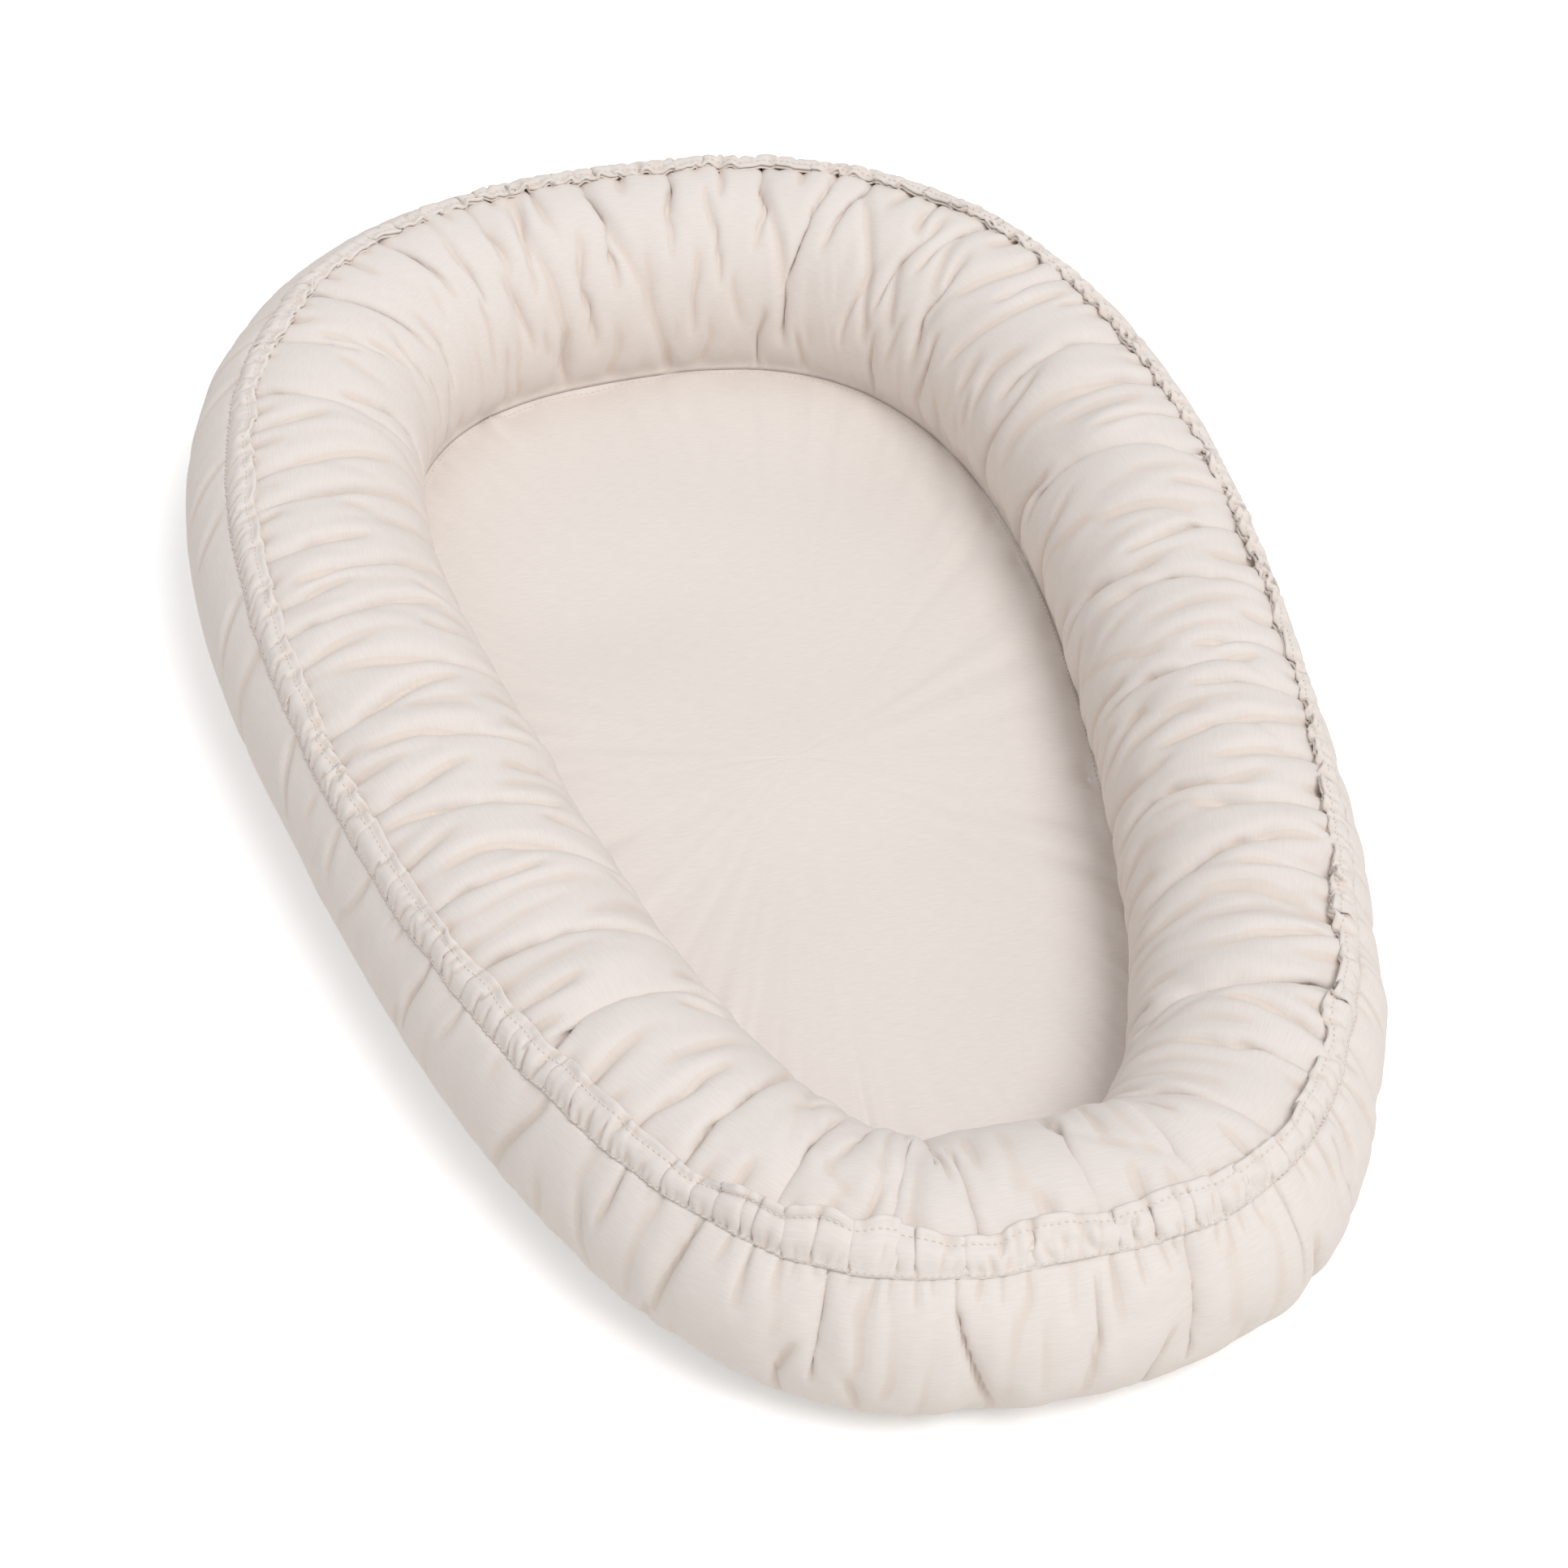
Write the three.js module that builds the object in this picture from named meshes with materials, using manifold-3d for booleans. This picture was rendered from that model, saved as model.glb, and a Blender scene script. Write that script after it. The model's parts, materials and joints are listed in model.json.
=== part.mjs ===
// Infant lounger: an oval nest with a stuffed roll all round a padded floor, a gathered tunnel for
// its cord on the outer shoulder of the roll, and a zip under the floor. Millimetres, +Z up, +Y to
// the wide head end. The origin is on the ground under the middle of the nest.
import * as THREE from "three";
import { mergeVertices } from "three/addons/utils/BufferGeometryUtils.js";
import Module from "manifold-3d";

const wasm = await Module();
wasm.setup();

// Plan outline of the nest, seen from above.
const nestHalfLength = 450;
const nestHalfWidth = 263;
const headRoundnessExponent = 2.31;
const footRoundnessExponent = 2.77;
const headWideningShare = 0.21;
const endWideningShare = 0.04;

// Stuffed roll. It lies wider at the left side and the foot than at the right side and the head.
const rollWidth = 121;
const rollHeight = 118;
const rollLeftWideningShare = 0.07;
const rollFootWideningShare = 0.03;
const crownRoundnessExponent = 2;
const bellyRoundnessExponent = 2.15;
const floorSeamAngle = 215;
const baseSeamAngle = -76;
const fillingEndGap = 4;

// Cloth and the small play that every sewn layer keeps from the next.
const clothThickness = 1.2;
const seamGap = 0.3;
const threadDiameter = 0.8;

// Gathers of the roll's cover, with their depth at foot, right side, head and left side.
const gatherCount = 38;
const gatherDepth = 8;
const gatherZoneShares = [1, 0.75, 1, 0.45];
const gatherFadeShare = 0.4;
const gatherDriftShare = 0.17;
const gatherDriftAngle = 137.5;
const seamDipAngle = 24;

// Tunnel for the cord: a flange of two bands that stands up along the roll from its root seam.
const tunnelHeight = 18.5;
const tunnelLeanAngle = 10;
const rootAngleMean = 46;
const rootAngleHeadRise = 10;
const rootAngleSideDrop = 10.5;
const ruffleHeight = 1.4;
const cordDiameter = 3;
const edgeStitchInset = 3;

// Floor of the nest.
const floorCrown = 4;
const floorStitchInset = 2.5;

// Zip under the floor, in a recess that its own thickness presses into the mattress.
const zipLength = 430;
const recessRise = 8;
const recessHalfWidth = 22;
const recessSlope = 20;
const slotHalfWidth = 7;
const tapeWidth = 13;
const tapeThickness = 0.8;
const coilWidth = 1.9;
const coilHeight = 3;
const coilHalfGap = 0.8;
const stopLength = 3;
const sliderLength = 14;
const sliderWidth = 11;
const sliderPlate = 1.2;
const sliderBladeWidth = 0.9;
const sliderBladeLength = 3;
const sliderWallWidth = 1.3;
const sliderClearance = 0.4;
const bailLength = 7.6;
const bailWidth = 2.4;
const bailPost = 1;
const bailOpening = 1.8;
const bailBar = 0.8;
const pullLength = 26;
const pullWidth = 6.4;
const pullThickness = 1;
const pullEyeLength = 4.8;
const pullEyeWidth = 4;
const pullRounding = 1.6;
const cutOverrun = 2;

const degree = Math.PI / 180;
const outlineStepCount = 1440;
const normalSpanShare = 0.011;

// Finishes.
const coverCloth = { color: 0xe3dad3, roughness: 0.85, metalness: 0 };
const baseCloth = { color: 0xd8d0ca, roughness: 0.9, metalness: 0 };
const wadding = { color: 0xf4f3f0, roughness: 0.95, metalness: 0 };
const sewingThread = { color: 0xe6ded6, roughness: 0.7, metalness: 0 };
const cottonCord = { color: 0xe9e3da, roughness: 0.85, metalness: 0 };
const zipTape = { color: 0xe1d9d1, roughness: 0.8, metalness: 0 };
const nylonCoil = { color: 0xe4ddd4, roughness: 0.4, metalness: 0 };
const sliderEnamel = { color: 0xe0d8cf, roughness: 0.35, metalness: 0.2 };

const lounger = new THREE.Group();

function addPiece(name, geometry, finish, parent = lounger) {
  geometry.computeVertexNormals();
  const piece = new THREE.Mesh(geometry, new THREE.MeshStandardMaterial(finish));
  piece.name = name;
  parent.add(piece);
  return piece;
}

const signedPower = (value, power) => Math.sign(value) * Math.abs(value) ** power;

// The plan outline, walked from the middle of the foot end by the right side.
function outlinePoint(turn) {
  const roundness = Math.sin(turn) >= 0 ? headRoundnessExponent : footRoundnessExponent;
  const across = signedPower(Math.cos(turn), 2 / roundness);
  const along = signedPower(Math.sin(turn), 2 / roundness);
  const widening = 1 + headWideningShare * along + endWideningShare * along ** 2;
  return new THREE.Vector2(nestHalfWidth * across * widening, nestHalfLength * along);
}

const outlinePoints = [];
for (let step = 0; step <= outlineStepCount; step += 1) {
  outlinePoints.push(outlinePoint((step / outlineStepCount) * 2 * Math.PI - Math.PI / 2));
}
const outline = new THREE.Path(outlinePoints);
const placeOf = (share) => outline.getPoint(((share % 1) + 1) % 1);

// Depth of a gather, which changes smoothly from zone to zone round the nest.
function gatherShareAt(share) {
  const zone = share * gatherZoneShares.length;
  const first = Math.floor(zone) % gatherZoneShares.length;
  const second = (first + 1) % gatherZoneShares.length;
  return THREE.MathUtils.lerp(gatherZoneShares[first], gatherZoneShares[second], zone % 1);
}

// A station is one cross-section of the roll: its place on the outline, the way inwards, the angle
// of the tunnel's root on the section, and how deep the cover is gathered there.
function stationAt(share, gathered) {
  const place = placeOf(share);
  const ahead = placeOf(share + normalSpanShare).sub(placeOf(share - normalSpanShare)).normalize();
  const bearing = Math.atan2(place.y, place.x);
  return {
    share,
    place,
    inward: new THREE.Vector2(-ahead.y, ahead.x),
    gather: gathered ? gatherDepth * gatherShareAt(share) : 0,
    width:
      rollWidth *
      (1 - rollLeftWideningShare * Math.cos(bearing) - rollFootWideningShare * Math.sin(bearing)),
    rootAngle:
      rootAngleMean + rootAngleHeadRise * Math.sin(bearing) - rootAngleSideDrop * Math.cos(2 * bearing),
  };
}

// Crests lie evenly round the nest, and the valley between two crests drifts to one side or the other.
const stations = [];
for (let gather = 0; gather < gatherCount; gather += 1) {
  const drift = gatherDriftShare * Math.sin(gather * gatherDriftAngle * degree);
  stations.push(stationAt(gather / gatherCount, false));
  stations.push(stationAt((gather + 0.5 + drift) / gatherCount, true));
}

// A ruffle of the tunnel's edge lies between every two stations.
const ruffleStations = stations.flatMap((station, index) => {
  const next = stations[(index + 1) % stations.length];
  const nextShare = next.share > station.share ? next.share : next.share + 1;
  const between = stationAt((station.share + nextShare) / 2, false);
  return [
    { ...station, ruffle: 1 },
    { ...between, ruffle: -1 },
  ];
});

const pointAt = (station, inset, height) =>
  new THREE.Vector3(
    station.place.x + station.inward.x * inset,
    station.place.y + station.inward.y * inset,
    height,
  );

// A point of the roll's section at an angle from the outer side over the top, with its surface
// shrunk towards the middle. Inset is the distance inwards from the plan outline.
function sectionPoint(station, angle, shrink) {
  const turn = angle * degree;
  const roundness = Math.sin(turn) >= 0 ? crownRoundnessExponent : bellyRoundnessExponent;
  const outwards = signedPower(Math.cos(turn), 2 / roundness) * (station.width / 2 - shrink);
  const upwards = signedPower(Math.sin(turn), 2 / roundness) * (rollHeight / 2 - shrink);
  return { inset: station.width / 2 - outwards, height: rollHeight / 2 + upwards };
}

function outwardGeometry(points, triangles) {
  let volume = 0;
  for (let corner = 0; corner < triangles.length; corner += 3) {
    const [a, b, c] = triangles.slice(corner, corner + 3).map((index) => points[index]);
    volume += a.dot(b.clone().cross(c));
  }
  if (volume < 0) triangles.reverse();
  const geometry = new THREE.BufferGeometry().setFromPoints(points);
  geometry.setIndex(triangles);
  return geometry;
}

// A solid swept through loops of points: round and back to its start, or with its two ends closed.
function sweptSolid(loops, isRing) {
  const size = loops[0].length;
  const triangles = [];
  const quad = (a, b, c, d) => triangles.push(a, b, c, a, c, d);
  const lastLoop = isRing ? loops.length : loops.length - 1;
  for (let loop = 0; loop < lastLoop; loop += 1) {
    const near = loop * size;
    const far = ((loop + 1) % loops.length) * size;
    for (let side = 0; side < size; side += 1) {
      const next = (side + 1) % size;
      quad(near + side, near + next, far + next, far + side);
    }
  }
  if (!isRing) {
    const end = (loops.length - 1) * size;
    for (let side = 0; side < size / 2 - 1; side += 1) {
      const across = size - 1 - side;
      quad(side, across, across - 1, side + 1);
      quad(end + side, end + side + 1, end + across - 1, end + across);
    }
  }
  return outwardGeometry(loops.flat(), triangles);
}

// A solid stacked from rings of points, closed by one point below and one above.
function stackedSolid(rings, lowest, highest) {
  const size = rings[0].length;
  const points = [lowest, ...rings.flat(), highest];
  const triangles = [];
  for (let side = 0; side < size; side += 1) {
    const next = (side + 1) % size;
    triangles.push(0, 1 + next, 1 + side);
    for (let ring = 0; ring < rings.length - 1; ring += 1) {
      const near = 1 + ring * size;
      const far = near + size;
      triangles.push(near + side, near + next, far + next, near + side, far + next, far + side);
    }
    const top = 1 + (rings.length - 1) * size;
    triangles.push(top + side, top + next, points.length - 1);
  }
  return outwardGeometry(points, triangles);
}

function solidOf(geometry) {
  const bare = geometry.clone();
  bare.deleteAttribute("normal");
  bare.deleteAttribute("uv");
  const merged = mergeVertices(bare);
  return new wasm.Manifold(
    new wasm.Mesh({
      numProp: 3,
      vertProperties: new Float32Array(merged.attributes.position.array),
      triVerts: new Uint32Array(merged.index.array),
    }),
  );
}

function geometryOf(solid) {
  const mesh = solid.getMesh();
  const geometry = new THREE.BufferGeometry();
  geometry.setAttribute("position", new THREE.BufferAttribute(mesh.vertProperties, 3));
  geometry.setIndex(new THREE.BufferAttribute(mesh.triVerts, 1));
  return geometry;
}

function boxBetween(low, high) {
  const size = high.map((value, axis) => value - low[axis]);
  const geometry = new THREE.BoxGeometry(...size);
  geometry.translate(...low.map((value, axis) => value + size[axis] / 2));
  return geometry;
}

const spread = (first, last, count) =>
  Array.from({ length: count }, (_, index) => THREE.MathUtils.lerp(first, last, index / (count - 1)));

// A sewn shell of the roll: its outer face and, one cloth thickness in, its inner face.
function rollShell(anglesAt, shrinkAt) {
  return sweptSolid(
    stations.map((station) => {
      const angles = anglesAt(station);
      const face = (depth) =>
        angles.map((angle) => {
          const point = sectionPoint(station, angle, shrinkAt(station, angle) + depth);
          return pointAt(station, point.inset, point.height);
        });
      return [...face(0), ...face(clothThickness).reverse()];
    }),
    true,
  );
}

const gapAngle = seamGap / (rollWidth / 2) / degree;
const tunnelThickness = 2 * clothThickness + seamGap;
const crownDip = tunnelThickness + 2 * seamGap;

// The crown panel runs from behind the tunnel over the top of the roll to the floor seam. Its gathers
// are deepest at the tunnel, where it also dips to pass behind the flange.
const crownAngleCount = 7;
function crownShrink(station, angle) {
  const run = (angle - station.rootAngle) / (floorSeamAngle - station.rootAngle);
  const dipRun = Math.min((angle - station.rootAngle) / seamDipAngle, 1);
  return station.gather * THREE.MathUtils.lerp(1, gatherFadeShare, run) + crownDip * (1 - dipRun) ** 2;
}
const crownAngles = (station) =>
  spread(station.rootAngle + gapAngle, floorSeamAngle, crownAngleCount);
addPiece("crown_panel", rollShell(crownAngles, crownShrink), coverCloth);

// The side panel runs from the base seam up the outer side of the roll to the tunnel's root.
const sideAngleShares = [1, 0.62, 0.3, 0];
const sideAngles = (station) => [
  ...sideAngleShares.map((share) => baseSeamAngle * share),
  station.rootAngle / 2,
  station.rootAngle - gapAngle,
];
function sideShrink(station, angle) {
  const run = (station.rootAngle - angle) / (station.rootAngle - baseSeamAngle);
  return (station.gather * (1 - run)) / 2;
}
addPiece("side_panel", rollShell(sideAngles, sideShrink), coverCloth);

// The filling is one long stuffed core bent round the nest. Its two ends meet at the foot.
const fillingAngleCount = 9;
const fillingAngles = [
  ...spread(baseSeamAngle, floorSeamAngle, fillingAngleCount),
  (floorSeamAngle + baseSeamAngle) / 2 + 180,
];
const fillingInset = crownDip + clothThickness + seamGap;
const groundClearance = clothThickness + seamGap;
const fillingEndShare = fillingEndGap / 2 / outline.getLength();
const fillingStations = [
  stationAt(fillingEndShare, false),
  ...stations.slice(1),
  stationAt(1 - fillingEndShare, false),
];
addPiece(
  "roll_filling",
  sweptSolid(
    fillingStations.map((station) =>
      fillingAngles.map((angle) => {
        const point = sectionPoint(station, angle, station.gather + fillingInset);
        return pointAt(station, point.inset, Math.max(point.height, groundClearance));
      }),
    ),
    false,
  ),
  wadding,
);

// A point of the tunnel: up is the distance from its root along the flange, out the distance off
// the flange's outer face.
function tunnelPoint(station, up, out) {
  const turn = station.rootAngle * degree;
  const root = sectionPoint(station, station.rootAngle, 0);
  const slope = new THREE.Vector2(-Math.sin(turn) * station.width, Math.cos(turn) * rollHeight);
  const along = slope.normalize();
  const lean = tunnelLeanAngle * degree;
  const flange = along.clone().rotateAround(new THREE.Vector2(), -lean);
  const face = new THREE.Vector2(flange.y, -flange.x);
  const outwards = flange.x * up + face.x * out;
  const upwards = flange.y * up + face.y * out;
  return pointAt(station, root.inset - outwards, root.height + upwards);
}

// The inner band is flat. The outer band bows out round the cord, and its free edge is ruffled.
const innerBandHeight = tunnelHeight - ruffleHeight - seamGap;
addPiece(
  "tunnel_inner_band",
  sweptSolid(
    stations.map((station) => [
      tunnelPoint(station, 0, -clothThickness - seamGap),
      tunnelPoint(station, innerBandHeight, -clothThickness - seamGap),
      tunnelPoint(station, innerBandHeight, -tunnelThickness),
      tunnelPoint(station, 0, -tunnelThickness),
    ]),
    true,
  ),
  coverCloth,
);

const pocketDepth = cordDiameter + 2 * seamGap;
const tunnelTop = (station) => tunnelHeight + station.ruffle * ruffleHeight;
addPiece(
  "tunnel_outer_band",
  sweptSolid(
    ruffleStations.map((station) => [
      tunnelPoint(station, 0, 0),
      tunnelPoint(station, tunnelHeight / 2, pocketDepth),
      tunnelPoint(station, tunnelTop(station), 0),
      tunnelPoint(station, tunnelTop(station), -clothThickness),
      tunnelPoint(station, tunnelHeight / 2, pocketDepth - clothThickness),
      tunnelPoint(station, 0, -clothThickness),
    ]),
    true,
  ),
  coverCloth,
);

// A cord or thread: a round of small sections about a line that goes all the way round the nest.
function roundLine(line, sides, radius, centreOf) {
  return sweptSolid(
    line.map((station) =>
      Array.from({ length: sides }, (_, side) => {
        const turn = (side / sides) * 2 * Math.PI;
        return centreOf(station, Math.cos(turn) * radius, Math.sin(turn) * radius);
      }),
    ),
    true,
  );
}

const cordSides = 5;
const threadSides = 3;
const threadRadius = threadDiameter / 2;
const cordRise = -clothThickness + cordDiameter / 2;
addPiece(
  "gathering_cord",
  roundLine(stations, cordSides, cordDiameter / 2, (station, up, out) =>
    tunnelPoint(station, tunnelHeight / 2 + up, cordRise + out),
  ),
  cottonCord,
);

// The tunnel's outer face bows from its root to the middle and back to its edge.
const bowAt = (station, up) =>
  pocketDepth * (up <= tunnelHeight / 2
    ? up / (tunnelHeight / 2)
    : (tunnelTop(station) - up) / (tunnelTop(station) - tunnelHeight / 2));
const onTunnelFace = (height) => (station, up, out) =>
  tunnelPoint(station, height + up, bowAt(station, height) + threadDiameter + seamGap + out);
const threadHeights = {
  tunnel_root_thread: threadDiameter,
  tunnel_edge_thread: tunnelHeight - edgeStitchInset,
};
for (const [name, height] of Object.entries(threadHeights)) {
  const thread = roundLine(ruffleStations, threadSides, threadRadius, onTunnelFace(height));
  addPiece(name, thread, sewingThread);
}

// Floor of the nest: the floor panel over the mattress pad, both crowned towards the middle.
const floorTop = sectionPoint(stations[0], floorSeamAngle, 0).height;
const floorUnderside = floorTop - clothThickness;
const floorInset = (station) => sectionPoint(station, floorSeamAngle, 0).inset + seamGap;
const padInset = (station) => floorInset(station) + seamGap;
const crownShares = [
  [0.35, 0.9],
  [0.7, 0.55],
  [1, 0],
];
const centrePoint = (height) => new THREE.Vector3(0, 0, height);
function crownedRings(insetAt, height) {
  return crownShares.map(([reachShare, riseShare]) =>
    stations.map((station) => {
      const edge = pointAt(station, insetAt(station), height);
      const rise = floorCrown * riseShare;
      return new THREE.Vector3(edge.x * reachShare, edge.y * reachShare, height + rise);
    }),
  );
}

addPiece(
  "floor_panel",
  stackedSolid(
    [...crownedRings(floorInset, floorUnderside), ...crownedRings(floorInset, floorTop).reverse()],
    centrePoint(floorUnderside + floorCrown),
    centrePoint(floorTop + floorCrown),
  ),
  coverCloth,
);
const stitchRiseShare = 0.1;
const floorStitchRise = floorTop + floorCrown * stitchRiseShare + threadDiameter;
addPiece(
  "floor_seam_thread",
  roundLine(stations, threadSides, threadRadius, (station, up, out) =>
    pointAt(station, floorInset(station) + floorStitchInset + out, floorStitchRise + up),
  ),
  sewingThread,
);

// The zip's layers, counted up from the ground.
const tapeHeight = recessRise + clothThickness + seamGap;
const coilMiddle = tapeHeight + tapeThickness / 2;
const coilLow = coilMiddle - coilHeight / 2;
const coilHigh = coilMiddle + coilHeight / 2;
const sliderLow = coilLow - seamGap - sliderPlate;
const sliderHigh = coilHigh + seamGap + sliderPlate;
const zipHalfLength = zipLength / 2;
const recessFullHalf = zipHalfLength + pullLength;
const recessHalfLength = recessFullHalf + recessSlope;

// The mattress pad lies on the base, hollowed on its underside for the zip.
const padTop = floorUnderside - seamGap;
const padCavityHalfWidth = recessHalfWidth + recessSlope;
const padBottomRing = stations.map((station) => pointAt(station, padInset(station), groundClearance));
const padBlock = stackedSolid(
  [padBottomRing, ...crownedRings(padInset, padTop).reverse()],
  centrePoint(groundClearance),
  centrePoint(padTop + floorCrown),
);
const padCavity = boxBetween(
  [-padCavityHalfWidth, -recessHalfLength, -cutOverrun],
  [padCavityHalfWidth, recessHalfLength, sliderHigh + seamGap],
);
const padSolid = solidOf(padBlock).subtract(solidOf(padCavity));
addPiece("mattress_pad", geometryOf(padSolid), wadding);

// The base is two panels with a slot along the middle for the zip, where they rise to it.
const baseInset = (station) => sectionPoint(station, baseSeamAngle, 0).inset - clothThickness;
const ramp = (distance, full) => THREE.MathUtils.clamp(1 - (distance - full) / recessSlope, 0, 1);
const baseRise = (x, y) =>
  recessRise * ramp(Math.abs(x), recessHalfWidth) * ramp(Math.abs(y), recessFullHalf);
const recessRows = [-recessHalfLength, -recessFullHalf, recessFullHalf, recessHalfLength];
const clearOfRows = (point) => recessRows.every((row) => Math.abs(point.y - row) > clothThickness);

function baseEdgePoints(side) {
  const reach = padCavityHalfWidth + recessSlope / 2;
  const edge = stations
    .map((station) => pointAt(station, baseInset(station), 0))
    .map((point) => new THREE.Vector3(side * point.x, point.y, 0))
    .filter((point) => point.x > reach && clearOfRows(point))
    .sort((a, b) => a.y - b.y);
  for (const y of recessRows) {
    const after = edge.findIndex((point) => point.y > y);
    const [low, high] = [edge[after - 1], edge[after]];
    const x = THREE.MathUtils.mapLinear(y, low.y, high.y, low.x, high.x);
    edge.splice(after, 0, new THREE.Vector3(x, y, 0));
  }
  return edge;
}

function basePanel(side) {
  const loops = baseEdgePoints(side).map(({ x: edgeX, y }) => {
    const columns = [slotHalfWidth, recessHalfWidth, padCavityHalfWidth, edgeX];
    const face = (height) =>
      columns.map((x) => new THREE.Vector3(side * x, y, baseRise(x, y) + height));
    return [...face(0), ...face(clothThickness).reverse()];
  });
  return sweptSolid(loops.reverse(), false);
}
addPiece("base_panel_right", basePanel(1), baseCloth);
addPiece("base_panel_left", basePanel(-1), baseCloth);

// A strip of the same cloth closes the slot between each end of the zip and the edge of the base.
const stripHalfWidth = slotHalfWidth - seamGap;
function baseEndOf(share) {
  const end = stationAt(share, false);
  return Math.abs(pointAt(end, baseInset(end), 0).y);
}
for (const [name, side, share] of [
  ["seam_strip_head", 1, 0.5],
  ["seam_strip_foot", -1, 0],
]) {
  const rows = [zipHalfLength + clothThickness, recessFullHalf, recessHalfLength, baseEndOf(share)];
  const loops = rows.map((row) => {
    const face = (height) =>
      [-stripHalfWidth, stripHalfWidth].map(
        (x) => new THREE.Vector3(x, side * row, baseRise(x, row) + height),
      );
    return [...face(0), ...face(clothThickness).reverse()];
  });
  addPiece(name, sweptSolid(loops, false), baseCloth);
}

// Zip tapes sewn over the edges of the base panels, each with its coil along the inner edge.
const coilOuter = coilHalfGap + coilWidth;
const coilEnd = zipHalfLength - stopLength - seamGap;
for (const [side, word] of [
  [1, "right"],
  [-1, "left"],
]) {
  const xBetween = (first, last) => [side * first, side * last].sort((a, b) => a - b);
  const [tapeStart, tapeStop] = xBetween(coilOuter + seamGap, coilOuter + seamGap + tapeWidth);
  const tape = boxBetween(
    [tapeStart, -zipHalfLength, tapeHeight],
    [tapeStop, zipHalfLength, tapeHeight + tapeThickness],
  );
  addPiece("zip_tape_" + word, tape, zipTape);
  const coilMid = side * (coilHalfGap + coilWidth / 2);
  const bead = new THREE.Shape();
  bead.absellipse(0, 0, coilWidth / 2, coilHeight / 2, 0, 2 * Math.PI);
  const coil = new THREE.ExtrudeGeometry(bead, { depth: 2 * coilEnd, bevelEnabled: false, curveSegments: 4 });
  coil.rotateX(Math.PI / 2);
  coil.translate(coilMid, coilEnd, coilMiddle);
  addPiece("zip_coil_" + word, coil, nylonCoil);
}

// Stops close the coils at both ends.
for (const [name, side] of Object.entries({ zip_top_stop: 1, zip_bottom_stop: -1 })) {
  const ends = [side * (zipHalfLength - stopLength), side * zipHalfLength].sort((a, b) => a - b);
  const stop = boxBetween([-coilOuter, ends[0], coilLow], [coilOuter, ends[1], coilHigh]);
  addPiece(name, stop, sliderEnamel);
}

// The slider rests closed against the top stop, and travels the zip's length towards the foot.
const sliderGroup = new THREE.Group();
sliderGroup.position.y = coilEnd - sliderClearance - sliderLength / 2;
lounger.add(sliderGroup);

const sliderHalf = sliderWidth / 2;
const sliderEnd = sliderLength / 2;
const wallInner = sliderHalf - sliderWallWidth;
const wallLow = tapeHeight - seamGap;
const wallHigh = tapeHeight + tapeThickness + seamGap;
const bailLow = sliderLow - bailOpening - bailBar;
const bladeEnd = sliderEnd - sliderBladeLength;
const bladeHalf = sliderBladeWidth / 2;
const bailHalf = bailWidth / 2;
const bailEnd = bailLength / 2;
const plateTop = sliderLow + sliderPlate;
const sliderBlocks = [
  [[-sliderHalf, -sliderEnd, sliderLow], [sliderHalf, sliderEnd, plateTop]],
  [[-sliderHalf, -sliderEnd, sliderHigh - sliderPlate], [sliderHalf, sliderEnd, sliderHigh]],
  [[-bladeHalf, bladeEnd, sliderLow], [bladeHalf, sliderEnd, sliderHigh]],
  [[wallInner, -sliderEnd, sliderLow], [sliderHalf, sliderEnd, wallLow]],
  [[wallInner, -sliderEnd, wallHigh], [sliderHalf, sliderEnd, sliderHigh]],
  [[-sliderHalf, -sliderEnd, sliderLow], [-wallInner, sliderEnd, wallLow]],
  [[-sliderHalf, -sliderEnd, wallHigh], [-wallInner, sliderEnd, sliderHigh]],
  [[-bailHalf, -bailEnd, bailLow], [bailHalf, bailEnd, bailLow + bailBar]],
  [[-bailHalf, -bailEnd, bailLow], [bailHalf, bailPost - bailEnd, plateTop]],
  [[-bailHalf, bailEnd - bailPost, bailLow], [bailHalf, bailEnd, plateTop]],
];
const sliderSolid = sliderBlocks
  .map(([low, high]) => solidOf(boxBetween(low, high)))
  .reduce((whole, block) => whole.add(block));
addPiece("zip_slider", geometryOf(sliderSolid), sliderEnamel, sliderGroup);

// The pull hangs by its eye from the slider's bail, and lies flat towards the foot.
const pivotHeight = sliderLow - bailOpening / 2;
const pullPlate = new THREE.Shape();
const [pullHalf, pullTop] = [pullWidth / 2, pullThickness / 2];
pullPlate.moveTo(-pullHalf, pullTop);
pullPlate.lineTo(-pullHalf, pullTop - pullLength + pullRounding);
pullPlate.lineTo(-pullHalf + pullRounding, pullTop - pullLength);
pullPlate.lineTo(pullHalf - pullRounding, pullTop - pullLength);
pullPlate.lineTo(pullHalf, pullTop - pullLength + pullRounding);
pullPlate.lineTo(pullHalf, pullTop);
pullPlate.closePath();
const pullEye = new THREE.Path();
pullEye.moveTo(-pullEyeWidth / 2, -pullTop);
pullEye.lineTo(pullEyeWidth / 2, -pullTop);
pullEye.lineTo(pullEyeWidth / 2, -pullTop - pullEyeLength);
pullEye.lineTo(-pullEyeWidth / 2, -pullTop - pullEyeLength);
pullEye.closePath();
pullPlate.holes.push(pullEye);
const pullGeometry = new THREE.ExtrudeGeometry(pullPlate, { depth: pullThickness, bevelEnabled: false });
pullGeometry.translate(0, 0, -pullThickness / 2);
const pull = addPiece("zip_pull", pullGeometry, sliderEnamel, sliderGroup);
pull.position.z = pivotHeight;

export default lounger;
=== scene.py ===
# Infant lounger: a gathered cotton cover over a stuffed roll and a flat mattress, with a corded
# tunnel on the shoulder of the roll and a zip under the floor. Metres, +Z up, +Y to the head end.
import json
import math
import bpy
import numpy as np
from mathutils import Matrix, Vector

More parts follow.
